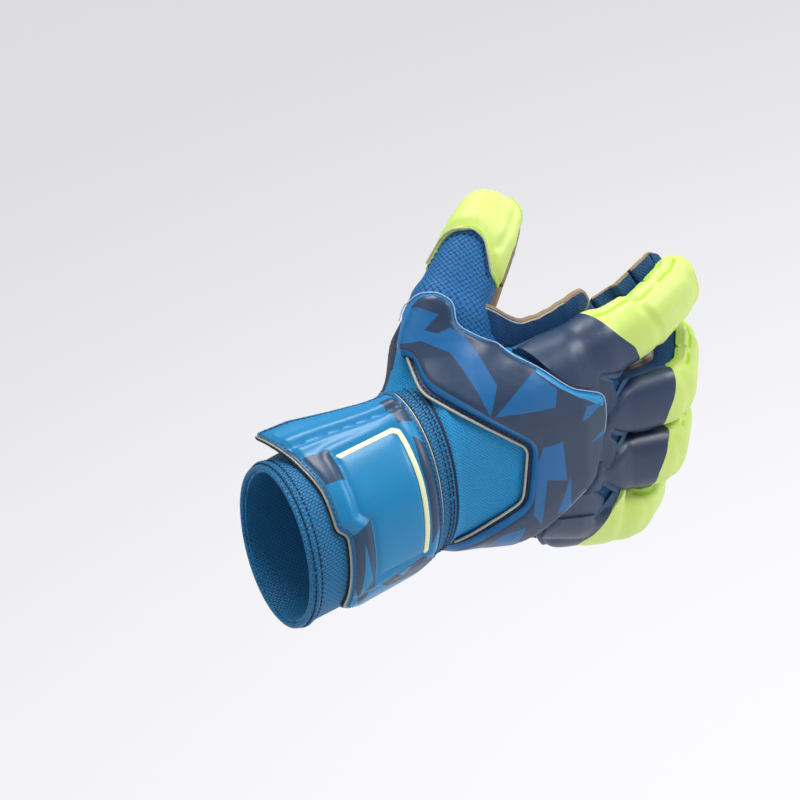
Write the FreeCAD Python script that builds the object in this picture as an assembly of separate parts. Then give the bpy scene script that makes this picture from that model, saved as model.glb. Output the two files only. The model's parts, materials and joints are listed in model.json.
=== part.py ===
import FreeCAD, Part

import math
import os

from FreeCAD import Placement, Rotation, Vector

# Goalkeeper glove for the right hand, in millimetres.
# Origin: centre of the cuff mouth. +X runs along the cuff towards the fingers,
# +Z is the thumb side and -Y is the back of the hand.
# The glove is drawn in its resting shape: thumb spread, index nearly straight,
# the other fingers curled.

AXIS_X = Vector(1, 0, 0)
AXIS_Y = Vector(0, 1, 0)
AXIS_Z = Vector(0, 0, 1)
FAR = 90.0            # longer than any section is wide
GAP = 0.3             # sewing clearance between neighbouring pieces
HINGE_GAP = 0.6       # clearance on each side of a bending line
RIM_POINTS = 8        # points on one run of a section curve

# Cuff: a knitted tube, open at both ends.
CUFF_LENGTH = 73.0
CUFF_BORE_RADIUS = 31.5
CUFF_BORE_LENGTH = 58.0
CUFF_RECESS_RADIUS = 33.0     # wider end of the bore, where the wrist lining turns
CUFF_OUTER_RADIUS = 34.0
HEM_WIDTH = 5.0
SEAM_PIPING_WIDTH = 3.0
TRIM_THICKNESS = 1.6

# Strap: a stiff wrap over the back of the cuff, sewn down at the little-finger side.
STRAP_START = 11.0
STRAP_END = 67.0
STRAP_STEP = 9.0      # the sewn end is narrower than the free end by this much
STRAP_FREE_ANGLE = 86.0
STRAP_STEP_ANGLE = -22.0
STRAP_HINGE_ANGLE = -80.0
ANCHOR_ANGLE = -124.0
HOOK_RADIUS = 34.55
BAND_RADIUS = 35.1
COVER_RADIUS = 36.6
COVER_OUTER_RADIUS = 38.2
BINDING_WIDTH = 2.2
LINE_WIDTH = 1.6

# Wrist: the hand leans back and towards the little finger from the cuff.
WRIST_X = 78.0
WRIST_EXTENSION = 11.0
WRIST_DEVIATION = 13.0
WRIST_BEND = (-15.0, 25.0)
WRIST_BALL_RADIUS = 32.7
LINING = 1.2

# Hand sections: distance from the wrist, centre (side, height),
# half width, half thickness, and how square the section is.
HAND = [
    (0, 0, 0, 36, 32, 2.2),
    (24, 3, 0, 43, 28, 2.4),
    (48, 3, 1, 48, 24, 2.6),
    (72, 2, 1, 52, 20, 2.8),
    (94, 1, 1, 54, 17, 3.0),
]
PAD_THICKNESS = 5.0
MESH_THICKNESS = 2.2
PALM_THICKNESS = 5.0
GUSSET_THICKNESS = 3.0
PIPING_WIDTH = 1.6

# Corners of the mesh window in the back of the hand (along the hand, across it).
WINDOW = [(2, -30), (12, -32), (43, -16), (47, 12), (33, 23), (14, 30), (2, 30)]

# Web between thumb and index finger, same axes.
WEB = [(12, 30), (36, 62), (44, 61), (52, 58), (66, 56), (80, 55), (70, 40)]
WEB_LEVEL = (-9.0, -4.0)

# Each digit: where its knuckle sits in the hand, how far it points to the thumb
# side (splay), how its bending axis is rolled before and after the first bone,
# bone lengths, resting bend at each joint, bending limits (total bend, straight
# is 0), and half width and half thickness at the four ends of its bones.
DIGITS = {
    "index": {
        "at": (90, 41, -2), "splay": 22, "roll": 0, "twist": 18,
        "bones": (26, 26, 22), "bend": (8, 14, 14), "follow": 0.6,
        "limits": ((-10, 50), (2, 74), (6.8, 50)),
        "sections": ((13.4, 12), (13.4, 12), (13.4, 12), (12.4, 10)),
    },
    "middle": {
        "at": (95, 13.5, 0), "splay": 5, "roll": 0, "twist": 17,
        "bones": (31, 29, 27), "bend": (5, 56, 28), "follow": 0.5,
        "limits": ((-10, 50), (4, 78), (2, 39)),
        "sections": ((12.8, 12), (12.8, 12), (12.6, 11.5), (11.5, 10)),
    },
    "ring": {
        "at": (92, -13.5, -1), "splay": -3, "roll": 0, "twist": 17,
        "bones": (29, 27, 26), "bend": (6, 54, 28), "follow": 0.5,
        "limits": ((-10, 50), (4, 84), (3, 43)),
        "sections": ((12.8, 12), (12.8, 12), (12.6, 11.5), (11.5, 10)),
    },
    "little": {
        "at": (84, -40, -6), "splay": -9, "roll": 0, "twist": 16,
        "bones": (22, 22, 25), "bend": (10, 40, 24), "follow": 0.5,
        "limits": ((-10, 50), (4, 84), (6, 46)),
        "sections": ((12.2, 11.5), (12.2, 11.5), (12, 11), (11, 9.5)),
    },
}
THUMB = {
    "at": (0, 33, -8), "splay": 60, "roll": -24, "twist": 0,
    "bones": (48, 34, 26), "bend": (15, 6, 22), "follow": 0,
    "limits": ((15, 15), (-10, 40), (0, 65)),
    "sections": ((20, 16), (18, 15), (17.5, 13.5), (14, 10)),
}
DIGIT_POWER = 2.6
PANEL_THICKNESS = 3.6
PANEL_HALF_ANGLE = 66.0   # back and palm panels span this much each side of centre
TIP_STATIONS = ((0, 1), (0.55, 1), (0.82, 0.86), (1, 0.5))
BACK = 90.0
PALM = -90.0


# Frames ---------------------------------------------------------------------

def moved(x, y, z):
    return Placement(Vector(x, y, z), Rotation())


def turned(axis, angle):
    return Placement(Vector(), Rotation(axis, angle))


# In a hand or digit frame +X runs to the fingertips, +Y to the thumb side and
# +Z out of the back.
STAND = turned(AXIS_X, 90)
HAND_FRAME = (STAND * moved(WRIST_X, 0, 0) * turned(AXIS_Y, -WRIST_EXTENSION)
              * turned(AXIS_Z, -WRIST_DEVIATION))
WRIST_FRAME = STAND * moved(WRIST_X, 0, 0)


def digit_frames(digit):
    """Returns (joint frames, bone frames); a joint bends about its frame's Y."""
    root = HAND_FRAME * moved(*digit["at"]) * turned(AXIS_Z, digit["splay"])
    joints = [root * turned(AXIS_X, digit["roll"])]
    bones = [joints[0] * turned(AXIS_Y, digit["bend"][0])]
    for number in (1, 2):
        end = bones[-1] * moved(digit["bones"][number - 1], 0, 0)
        twist = digit["twist"] if number == 1 else 0
        joints.append(end * turned(AXIS_X, twist))
        bones.append(joints[-1] * turned(AXIS_Y, digit["bend"][number]))
    return joints, bones


# Section curves -------------------------------------------------------------

def rounded(value, power):
    return math.copysign(abs(value) ** (2 / power), value)


def rim_point(section, angle):
    x, y, z, half_width, half_depth, power = section
    across = rounded(math.cos(math.radians(angle)), power)
    up = rounded(math.sin(math.radians(angle)), power)
    return Vector(x, y + half_width * across, z + half_depth * up)


def inset(section, amount):
    x, y, z, half_width, half_depth, power = section
    return (x, y, z, half_width - amount, half_depth - amount, power)


def curve(points, closed=False):
    spline = Part.BSplineCurve()
    spline.interpolate(points, PeriodicFlag=closed)
    return spline.toShape()


def ring_wire(section):
    count = 4 * RIM_POINTS
    points = [rim_point(section, 360 * k / count) for k in range(count)]
    return Part.Wire([curve(points, closed=True)])


def arc_wire(section, start, end, thickness):
    steps = [start + (end - start) * k / RIM_POINTS for k in range(RIM_POINTS + 1)]
    outer = [rim_point(section, angle) for angle in steps]
    inner = [rim_point(inset(section, thickness), angle) for angle in reversed(steps)]
    edges = [curve(outer), Part.makeLine(outer[-1], inner[0]),
             curve(inner), Part.makeLine(inner[-1], outer[0])]
    return Part.Wire(edges)


def solid_loft(sections):
    return Part.makeLoft([ring_wire(s) for s in sections], True, True)


def shell_loft(sections, thickness):
    """A tube whose outer face follows the sections."""
    inner = [inset(s, thickness) for s in sections]
    return solid_loft(sections).cut(solid_loft(inner))


def arc_loft(sections, start, end, thickness):
    wires = [arc_wire(s, start, end, thickness) for s in sections]
    return Part.makeLoft(wires, True, True)


# Cutting tools --------------------------------------------------------------

def prism(outline, low, high):
    """A flat outline in X and Y, pulled from one height to the other."""
    points = [Vector(x, y, low) for x, y in outline]
    face = Part.Face(Part.makePolygon(points + points[:1]))
    return face.extrude(Vector(0, 0, high - low))


def grown(outline, amount):
    points = [Vector(x, y, 0) for x, y in outline]
    wire = Part.makePolygon(points + points[:1])
    offset = wire.makeOffset2D(amount)
    return [(v.X, v.Y) for v in offset.OrderedVertexes]


def ahead_of_joint(limits, sign, half_width=FAR):
    """The space that the far side of a joint may use, in that side's own frame
    when sign is 1, or in the near side's frame, looking back, when sign is -1.
    The two slopes are half of the total bend, so both sides meet at the limits."""
    low = max(0.0, -limits[0]) / 2
    high = max(0.0, limits[1]) / 2
    start = HINGE_GAP * sign
    back_x = start + sign * FAR * math.tan(math.radians(low))
    palm_x = start + sign * FAR * math.tan(math.radians(high))
    far_x = sign * 3 * FAR
    corners = [(start, 0), (back_x, FAR), (far_x, FAR), (far_x, -FAR), (palm_x, -FAR)]
    points = [Vector(x, -half_width, z) for x, z in corners]
    face = Part.Face(Part.makePolygon(points + points[:1]))
    return face.extrude(Vector(0, 2 * half_width, 0))


def placed(shape, frame):
    copy = shape.copy()
    copy.Placement = frame
    return copy


# Cuff and strap -------------------------------------------------------------

def tube(start, end, inner, outer):
    body = Part.makeCylinder(outer, end - start, Vector(start, 0, 0), AXIS_X)
    return body.cut(Part.makeCylinder(inner, end - start, Vector(start, 0, 0), AXIS_X))


def wrap(start, end, inner, outer, low, high):
    """A part of a tube, from angle low to high; 0 is the back of the hand and
    90 the thumb side."""
    corners = [Vector(start, 0, inner), Vector(end, 0, inner),
               Vector(end, 0, outer), Vector(start, 0, outer)]
    face = Part.Face(Part.makePolygon(corners + corners[:1]))
    swept = face.revolve(Vector(), AXIS_X, high - low)
    swept.rotate(Vector(), AXIS_X, 90 - high)
    return swept


def make_cuff():
    wrist_side = placed(ahead_of_joint(WRIST_BEND, -1), WRIST_FRAME)
    knit = tube(0, CUFF_LENGTH, CUFF_BORE_RADIUS, CUFF_OUTER_RADIUS)
    recess_length = CUFF_LENGTH - CUFF_BORE_LENGTH
    recess = Part.makeCylinder(CUFF_RECESS_RADIUS, recess_length,
                               Vector(CUFF_BORE_LENGTH, 0, 0), AXIS_X)
    knit = knit.cut(recess)
    hem_radius = CUFF_OUTER_RADIUS + TRIM_THICKNESS
    hem = tube(0, HEM_WIDTH, CUFF_OUTER_RADIUS + 0.05, hem_radius)
    piping_start = CUFF_LENGTH - SEAM_PIPING_WIDTH
    piping = tube(piping_start, CUFF_LENGTH, CUFF_OUTER_RADIUS + 0.05, hem_radius)
    loop = wrap(STRAP_START + 6, STRAP_END - 6, CUFF_OUTER_RADIUS + 0.05,
                HOOK_RADIUS - 0.05, 30, STRAP_FREE_ANGLE - 4)
    anchor = wrap(STRAP_START + STRAP_STEP, STRAP_END, CUFF_OUTER_RADIUS + 0.05,
                  COVER_RADIUS, ANCHOR_ANGLE, STRAP_HINGE_ANGLE - 4)
    return {
        "cuff_knit": knit.common(wrist_side),
        "cuff_hem_binding": hem,
        "hand_seam_piping": piping.common(wrist_side),
        "loop_patch": loop,
        "strap_anchor_tab": anchor,
    }


def strap_outline(margin, inner, outer):
    """The strap's wrap, drawn in from its edge by margin."""
    wide = wrap(STRAP_START + margin, STRAP_END - margin, inner, outer,
                STRAP_STEP_ANGLE + degrees(margin), STRAP_FREE_ANGLE - degrees(margin))
    narrow = wrap(STRAP_START + STRAP_STEP + margin, STRAP_END - margin, inner, outer,
                  STRAP_HINGE_ANGLE + degrees(margin), STRAP_STEP_ANGLE + degrees(margin))
    return wide.fuse(narrow).removeSplitter()


def degrees(length):
    return math.degrees(length / BAND_RADIUS)


def make_strap():
    inside = strap_outline(BINDING_WIDTH, BAND_RADIUS - 1, COVER_OUTER_RADIUS + 1)
    band = strap_outline(BINDING_WIDTH + 0.05, BAND_RADIUS, COVER_RADIUS - 0.1)
    binding = strap_outline(0, BAND_RADIUS, COVER_RADIUS + 0.6).cut(inside)
    cover = strap_outline(BINDING_WIDTH + 0.4, COVER_RADIUS, COVER_OUTER_RADIUS)
    line_edge = BINDING_WIDTH + 7
    line_shape = strap_outline(line_edge, COVER_OUTER_RADIUS + 0.05,
                               COVER_OUTER_RADIUS + 0.6)
    line_inside = strap_outline(line_edge + LINE_WIDTH, COVER_OUTER_RADIUS - 1,
                                COVER_OUTER_RADIUS + 2)
    hook = wrap(STRAP_START + 8, STRAP_END - 8, HOOK_RADIUS, BAND_RADIUS - 0.05,
                36, STRAP_FREE_ANGLE - 8)
    return {
        "strap_band": band,
        "strap_binding": binding,
        "strap_moulded_cover": cover,
        "strap_trim_line": line_shape.cut(line_inside),
        "hook_patch": hook,
    }


# Hand -----------------------------------------------------------------------

def make_wrist_lining(room):
    """Closes the wrist at any bend: a band of a sphere that is centred on the joint
    and stops at the start of the hand."""
    zone = Part.makeBox(19, 2 * FAR, 2 * FAR, Vector(-10, -FAR, -FAR))
    outer = Part.makeSphere(WRIST_BALL_RADIUS)
    inner = Part.makeSphere(WRIST_BALL_RADIUS - LINING)
    band = placed(outer.cut(inner).common(zone), WRIST_FRAME)
    return largest(band.cut(room))


def hand_room():
    """The space of the hand body: ahead of the wrist and behind every knuckle."""
    room = placed(ahead_of_joint(WRIST_BEND, 1), WRIST_FRAME)
    for digit in DIGITS.values():
        joints, _ = digit_frames(digit)
        reach = 21.0
        behind = ahead_of_joint(digit["limits"][0], -1, reach)
        column = Part.makeBox(4 * FAR, 2 * reach, 2 * FAR, Vector(-3 * FAR, -reach, -FAR))
        room = room.cut(placed(column.cut(behind), joints[0]))
    return room


def thumb_volume(growth):
    _, bones = digit_frames(THUMB)
    sections = bone_sections(THUMB, 0)
    return placed(solid_loft([inset(s, -growth) for s in sections]), bones[0])


def make_hand():
    room = hand_room()
    skin = placed(solid_loft([inset(s, -GAP) for s in HAND]), HAND_FRAME)
    pad = arc_loft(HAND, 14, 166, PAD_THICKNESS)
    recessed = [inset(s, PAD_THICKNESS - MESH_THICKNESS) for s in HAND]
    mesh = arc_loft(recessed, 14, 166, MESH_THICKNESS)
    window = prism(WINDOW, 0, FAR)
    opening = prism(grown(WINDOW, -PIPING_WIDTH), 0, FAR)
    slot = prism(grown(WINDOW, -GAP), 0, FAR)
    glazed = prism(grown(WINDOW, -PIPING_WIDTH - GAP), 0, FAR)
    lining_skin = [inset(s, PAD_THICKNESS + GAP) for s in HAND]
    lining = shell_loft(lining_skin, LINING)
    pieces = {
        "backhand_pad": pad.cut(window),
        "window_piping": pad.common(slot).cut(opening),
        "backhand_mesh": mesh.common(glazed),
        "palm_panel": arc_loft(HAND, 194, 346, PALM_THICKNESS),
        "ulnar_gusset": arc_loft(HAND, 167, 193, GUSSET_THICKNESS),
        "radial_gusset": arc_loft(HAND[2:], -13, 13, GUSSET_THICKNESS),
        "hand_lining": lining,
    }
    pieces = {name: placed(shape, HAND_FRAME).common(room)
              for name, shape in pieces.items()}
    hole = thumb_volume(GAP)
    for name in ("radial_gusset", "hand_lining"):
        pieces[name] = largest(pieces[name].cut(hole))
    pieces["wrist_lining"] = make_wrist_lining(room)
    pieces.update(make_thumb_base(skin, room))
    pieces["thumb_web"] = make_web(skin, room)
    return pieces


def make_thumb_base(skin, room):
    """The thumb's first bone is covered by a lobe that is part of the hand body."""
    joints, bones = digit_frames(THUMB)
    end = placed(ahead_of_joint(THUMB["limits"][1], -1), joints[1])
    sections = bone_sections(THUMB, 0)
    rename = {"back": "thumb_lobe_pad", "palm": "thumb_base_palm",
              "sleeve": "thumb_base_sleeve"}
    pieces = {}
    for part, shape in digit_layers(sections).items():
        cut = placed(shape, bones[0]).cut(skin).common(end).common(room)
        pieces[rename[part]] = largest(cut)
    return pieces


def make_web(skin, room):
    joints, _ = digit_frames(THUMB)
    plate = placed(prism(WEB, *WEB_LEVEL), HAND_FRAME)
    end = placed(ahead_of_joint(THUMB["limits"][1], -1), joints[1])
    plate = plate.cut(skin).cut(thumb_volume(GAP)).common(end).common(room)
    return largest(plate)


def largest(shape):
    return max(shape.Solids, key=lambda solid: solid.Volume)


# Digits ---------------------------------------------------------------------

def bone_sections(digit, number):
    length = digit["bones"][number]
    start = digit["sections"][number]
    end = digit["sections"][number + 1]
    stations = TIP_STATIONS if number == 2 else ((0, 1), (1, 1))
    sections = []
    for share, scale in stations:
        half_width = (start[0] + (end[0] - start[0]) * share) * scale
        half_depth = (start[1] + (end[1] - start[1]) * share) * scale
        sections.append((length * share, 0, 0, half_width, half_depth, DIGIT_POWER))
    return sections


def digit_layers(sections):
    """Back panel, palm panel and the tube sleeve that they are sewn on."""
    half = PANEL_HALF_ANGLE
    back = arc_loft(sections, BACK - half, BACK + half, PANEL_THICKNESS)
    palm = arc_loft(sections, PALM - half, PALM + half, PANEL_THICKNESS)
    core = [inset(s, PANEL_THICKNESS + GAP) for s in sections]
    return {"back": back, "palm": palm, "sleeve": shell_loft(core, LINING)}


def make_bone(digit, number):
    joints, bones = digit_frames(digit)
    room = placed(ahead_of_joint(digit["limits"][number], 1), bones[number])
    if number < 2:
        behind = ahead_of_joint(digit["limits"][number + 1], -1)
        room = room.common(placed(behind, joints[number + 1]))
    layers = digit_layers(bone_sections(digit, number))
    return {part: largest(placed(shape, bones[number]).common(room))
            for part, shape in layers.items()}


def make_finger(name, digit):
    pieces = {}
    for number, bone in enumerate(("proximal", "middle", "tip")):
        for part, shape in make_bone(digit, number).items():
            if number < 2 or part != "sleeve":
                pieces[f"{name}_{bone}_{part}"] = shape
    return pieces


def make_thumb():
    pieces = {}
    for number, bone in ((1, "proximal"), (2, "tip")):
        for part, shape in make_bone(THUMB, number).items():
            pieces[f"thumb_{bone}_{part}"] = shape
    return pieces


def build():
    pieces = {}
    pieces.update(make_cuff())
    pieces.update(make_strap())
    pieces.update(make_hand())
    pieces.update(make_thumb())
    for name, digit in DIGITS.items():
        pieces.update(make_finger(name, digit))
    return pieces


os.makedirs("parts", exist_ok=True)
for node, shape in build().items():
    shape.exportStep(f"parts/{node}.step")
    print(node, len(shape.Solids), shape.isValid(), round(shape.Volume))
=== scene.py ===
import json
import math
import bpy
import numpy as np
from mathutils import Matrix, Vector
from mathutils.geometry import delaunay_2d_cdt


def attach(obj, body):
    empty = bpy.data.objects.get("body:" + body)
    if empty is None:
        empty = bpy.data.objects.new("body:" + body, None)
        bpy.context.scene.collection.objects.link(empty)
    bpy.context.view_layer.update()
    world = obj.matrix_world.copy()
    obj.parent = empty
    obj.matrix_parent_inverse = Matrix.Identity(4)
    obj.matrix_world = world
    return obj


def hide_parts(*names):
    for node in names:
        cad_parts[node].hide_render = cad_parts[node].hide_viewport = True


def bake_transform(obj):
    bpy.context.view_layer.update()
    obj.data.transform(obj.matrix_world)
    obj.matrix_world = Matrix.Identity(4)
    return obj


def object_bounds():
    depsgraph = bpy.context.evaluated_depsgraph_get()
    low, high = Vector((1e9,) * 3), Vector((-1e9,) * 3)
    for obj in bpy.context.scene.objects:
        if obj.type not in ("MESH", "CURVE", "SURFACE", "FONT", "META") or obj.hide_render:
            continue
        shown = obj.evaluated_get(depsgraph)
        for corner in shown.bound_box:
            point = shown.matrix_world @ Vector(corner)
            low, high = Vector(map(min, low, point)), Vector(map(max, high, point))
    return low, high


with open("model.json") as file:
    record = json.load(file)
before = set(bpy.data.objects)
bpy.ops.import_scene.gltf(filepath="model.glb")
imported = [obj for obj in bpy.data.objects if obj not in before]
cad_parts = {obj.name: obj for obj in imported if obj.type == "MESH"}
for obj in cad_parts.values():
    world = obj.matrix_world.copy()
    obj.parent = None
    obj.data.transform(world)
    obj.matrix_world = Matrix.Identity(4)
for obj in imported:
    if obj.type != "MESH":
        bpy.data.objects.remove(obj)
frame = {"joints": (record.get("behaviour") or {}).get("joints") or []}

CAD_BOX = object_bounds()
JOINTS = {joint["name"]: joint for joint in frame["joints"]}
FINGERS = ("index", "middle", "ring", "little")

# Digits: all sizes in millimetres --------------------------------------------

MM = 0.001
HAND_LEAN = 11.0            # wrist extension at rest, degrees
HAND_SWAY = 13.0            # wrist deviation at rest, degrees
POWER = 2.6                 # squareness of a digit's section
DOME, DOME_POWER = 15.0, 2.3    # how far from its end a fingertip rounds off, and how squarely
BEND_RADIUS = 13.0          # radius of a digit's centre line at a joint
# Length of each tip bone, and the angle between it and the bone before it.
TIP = {"index": (14, 28), "middle": (27, 28), "ring": (26, 28), "little": (25, 24), "thumb": (26, 22)}
HALF = {                    # half width and half thickness at the four bone ends
    "index": ((13.8, 12), (13.2, 11.6), (12.2, 10.8), (11, 8.8)),
    "middle": ((13, 12), (13.2, 12), (13.2, 11.8), (12.2, 10.5)),
    "ring": ((13, 12), (13.2, 12), (13.2, 11.8), (12.2, 10.5)),
    "little": ((12.4, 11.5), (12.6, 11.5), (12.6, 11.2), (11.6, 10)),
    "thumb": ((20, 16), (17.5, 15), (14.8, 12.5), (11.4, 8.2)),
}
# The hand's section at a few places along it: x, centre y and z, half width, half thickness, power.
HAND = ((0, 4, 0, 39, 33, 2.2), (24, 5, 0, 41, 28, 2.4), (48, 5.2, 1, 45.8, 24, 2.6),
        (72, 4.5, 0.6, 49.5, 19.4, 2.8), (84, 4, -1, 50.5, 16, 2.9), (96, 3.5, -2.2, 51.5, 14, 3.0))


def unit(v):
    v = np.asarray(v, float)
    return v / np.linalg.norm(v, axis=-1, keepdims=True)


def pair(u, v):
    """Both as arrays of the same shape."""
    return np.broadcast_arrays(np.asarray(u, float), np.asarray(v, float))


def curve(start, corner, end, t):
    """The point at t on the arc that rounds off a corner."""
    return start * (1 - t) ** 2 + 2 * corner * t * (1 - t) + end * t ** 2


def rotation(axis, degrees):
    a = unit(axis)
    c = math.cos(math.radians(degrees))
    s = math.sin(math.radians(degrees))
    k = np.array([[0, -a[2], a[1]], [a[2], 0, -a[0]], [-a[1], a[0], 0]])
    return np.eye(3) + s * k + (1 - c) * k @ k


class Frame:
    """A place and three axes: x towards the fingertips, y to the thumb side, z out of the back."""

    def __init__(self, origin, axes):
        self.o = np.asarray(origin, float)
        self.r = np.asarray(axes, float)    # columns are the axes

    def out(self, p):
        return np.asarray(p, float) @ self.r.T + self.o

    def into(self, p):
        return (np.asarray(p, float) - self.o) @ self.r


def frame_along(start, end, side):
    x = unit(np.subtract(end, start))
    y = unit(np.asarray(side, float) - x * np.dot(side, x))
    return Frame(start, np.stack([x, y, np.cross(x, y)], 1))


def joint_at(name):
    joint = JOINTS[name]
    return np.array(joint["pos_m"]) / MM, np.array(joint["axis"], float)


def hand_frame():
    stand = rotation((1, 0, 0), 90)
    turn = rotation((0, 1, 0), -HAND_LEAN) @ rotation((0, 0, 1), -HAND_SWAY)
    return Frame(joint_at("wrist_bend")[0], stand @ turn)


def digit_bones(name):
    """The three bone frames of a digit and their lengths."""
    if name == "thumb":
        first, side = joint_at("thumb_knuckle")
        second, _ = joint_at("thumb_tip_bend")
        start = HAND_AXES.out((0, 33, -8))
        points, sides = [start, first, second], [side, side, side]
    else:
        found = [joint_at(f"{name}_{j}") for j in ("knuckle", "middle_bend", "tip_bend")]
        points, sides = [f[0] for f in found], [f[1] for f in found]
    bones = [frame_along(points[0], points[1], sides[0]), frame_along(points[1], points[2], sides[1])]
    length, bend = TIP[name]
    ahead = rotation(sides[2], bend) @ bones[1].r[:, 0]
    bones.append(frame_along(points[2], points[2] + ahead * length, sides[2]))
    lengths = [np.linalg.norm(points[1] - points[0]), np.linalg.norm(points[2] - points[1]), length]
    return bones, lengths


def turn_between(a, b, share):
    """The rotation part-way from axes a to axes b."""
    r = a.T @ b
    angle = math.acos(max(-1.0, min(1.0, (np.trace(r) - 1) / 2)))
    if angle < 1e-6:
        return a
    axis = np.array([r[2, 1] - r[1, 2], r[0, 2] - r[2, 0], r[1, 0] - r[0, 1]])
    return a @ rotation(axis, math.degrees(angle) * share)


class Tube:
    """A digit's smooth skin. s runs along its centre line from the first joint; w runs round it:
    0 is the back, +0.5 the thumb side, -0.5 the other side and 1 the palm."""
    STEP = 0.5                  # distance between points of the centre line

    def __init__(self, name, back_off=30.0):
        bones, lengths = digit_bones(name)
        self.bones, self.lengths = bones, lengths
        half = np.array(HALF[name], float)
        centre, axes, size = [], [], []
        cuts = []
        for k in (0, 1):
            bend = math.acos(np.clip(bones[k].r[:, 0] @ bones[k + 1].r[:, 0], -1, 1))
            cut = BEND_RADIUS * math.tan(bend / 2)
            cuts.append(min(cut, 0.45 * lengths[k], 0.45 * lengths[k + 1]))
        for k in range(3):
            start = -back_off if k == 0 else cuts[k - 1]
            stop = lengths[k] - cuts[k] if k < 2 else lengths[2]
            count = max(2, int((stop - start) / self.STEP))
            for t in np.linspace(start, stop, count, endpoint=(k == 2)):
                centre.append(bones[k].out((t, 0, 0)))
                axes.append(bones[k].r)
                share = np.clip(t / lengths[k], 0, 1)
                size.append(half[k] * (1 - share) + half[k + 1] * share)
            if k == 2:
                break
            corner = bones[k + 1].o
            a = corner - bones[k].r[:, 0] * cuts[k]
            b = corner + bones[k + 1].r[:, 0] * cuts[k]
            count = max(3, int(2 * cuts[k] / self.STEP))
            for share in np.linspace(0, 1, count, endpoint=False):
                centre.append(curve(a, corner, b, share))
                axes.append(turn_between(bones[k].r, bones[k + 1].r, share))
                size.append(half[k + 1])
        self.centre, self.axes, self.size = np.array(centre), np.array(axes), np.array(size)
        steps = np.linalg.norm(np.diff(self.centre, axis=0), axis=1)
        self.s = np.concatenate([[0], np.cumsum(steps)]) - back_off
        self.end = self.s[-1]
        self.joint_s = []
        for bone in bones[1:]:
            self.joint_s.append(self.s[np.argmin(np.linalg.norm(self.centre - bone.o, axis=1))])
        angles = np.linspace(0, math.pi, 400)
        ring = np.stack([rounded(np.sin(angles), POWER) * 13, rounded(np.cos(angles), POWER) * 12], 1)
        run = np.concatenate([[0], np.cumsum(np.linalg.norm(np.diff(ring, axis=0), axis=1))])
        self.turn_w, self.turn_angle = run / run[-1], angles
        self.half_round = run[-1]

    def section(self, s):
        """Centre, axes, half width and half thickness at s, with the fingertip rounded off."""
        s = np.clip(s, self.s[0], self.end)
        index = np.clip(np.searchsorted(self.s, s) - 1, 0, len(self.s) - 2)
        t = ((s - self.s[index]) / (self.s[index + 1] - self.s[index]))[..., None]
        centre = self.centre[index] * (1 - t) + self.centre[index + 1] * t
        axes = self.axes[index] * (1 - t[..., None]) + self.axes[index + 1] * t[..., None]
        size = self.size[index] * (1 - t) + self.size[index + 1] * t
        q = np.clip((s - self.end + DOME) / DOME, 0, 1)
        size = size * np.maximum(1 - q ** DOME_POWER, 0)[..., None] ** (1 / DOME_POWER)
        return centre, axes, size

    def raw(self, s, w):
        s, w = pair(s, w)
        w = (w + 1) % 2 - 1
        angle = np.interp(np.abs(w), self.turn_w, self.turn_angle) * np.sign(w)
        centre, axes, size = self.section(s)
        y = rounded(np.sin(angle), POWER) * size[..., 0]
        z = rounded(np.cos(angle), POWER) * size[..., 1]
        return centre + axes[..., :, 1] * y[..., None] + axes[..., :, 2] * z[..., None]

    def skin(self, s, w):
        s, w = pair(s, w)
        limit = self.end - 0.05
        s = np.minimum(s, limit)
        p = self.raw(s, w)
        ds, dw = 0.4, 0.02
        along = self.raw(np.minimum(s + ds, limit), w) - self.raw(s - ds, w)
        across = self.raw(s, w + dw) - self.raw(s, w - dw)
        n = unit(np.cross(across, along) + 1e-12)
        outward = np.sum(n * (p - self.section(s - 4.0)[0]), axis=-1, keepdims=True)
        return p, np.where(outward < 0, -n, n)


def rounded(value, power):
    return np.sign(value) * np.abs(value) ** (2 / power)


# Skin of the hand: a smooth union of the hand and the first bones of the digits.

def limb_field(p, name, number, first, last, power=POWER):
    """Below zero inside one bone of a digit, rounded off at first and last along it."""
    tube = TUBES[name]
    (a0, b0), (a1, b1) = HALF[name][number:number + 2]
    q = tube.bones[number].into(p)
    t = np.clip(q[:, 0] / tube.lengths[number], 0, 1)
    a, b = a0 * (1 - t) + a1 * t, b0 * (1 - t) + b1 * t
    over = np.maximum(0, np.maximum(first - q[:, 0], q[:, 0] - last))
    r = (np.abs(q[:, 1]) / a) ** power + (np.abs(q[:, 2]) / b) ** power + (over / b) ** power
    return (r ** (1 / power) - 1) * b


HAND_FRONT = 88.0           # where the front of the hand starts to round off


def palm_field(p):
    q = HAND_AXES.into(p)
    rows = np.array(HAND, float)
    y0, z0, a, b, power = (np.interp(q[:, 0], rows[:, 0], rows[:, k]) for k in range(1, 6))
    over = np.maximum(0, q[:, 0] - HAND_FRONT) / 12
    r = (np.abs(q[:, 1] - y0) / a) ** power + (np.abs(q[:, 2] - z0) / b) ** power + over ** power
    return (r ** (1 / power) - 1) * b


def smooth_min(a, b, k):
    h = np.maximum(k - np.abs(a - b), 0) / k
    return np.minimum(a, b) - h * h * k / 4


def hand_field(p):
    """Below zero inside the hand. The thumb joins with a wide web, the fingers with a narrow one."""
    bones = [limb_field(p, "thumb", k, 0, TUBES["thumb"].lengths[k]) for k in (0, 1)]
    f = smooth_min(palm_field(p), smooth_min(*bones, 4.0), THUMB_WEB)
    for name in FINGERS:
        f = smooth_min(f, limb_field(p, name, 0, 0, TUBES[name].lengths[0]), 5.0)
    return f


def gradient(field, p, step=0.3):
    g = np.empty_like(p)
    for k in range(3):
        d = np.zeros(3)
        d[k] = step
        g[:, k] = field(p + d) - field(p - d)
    return unit(g + 1e-12)


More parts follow.
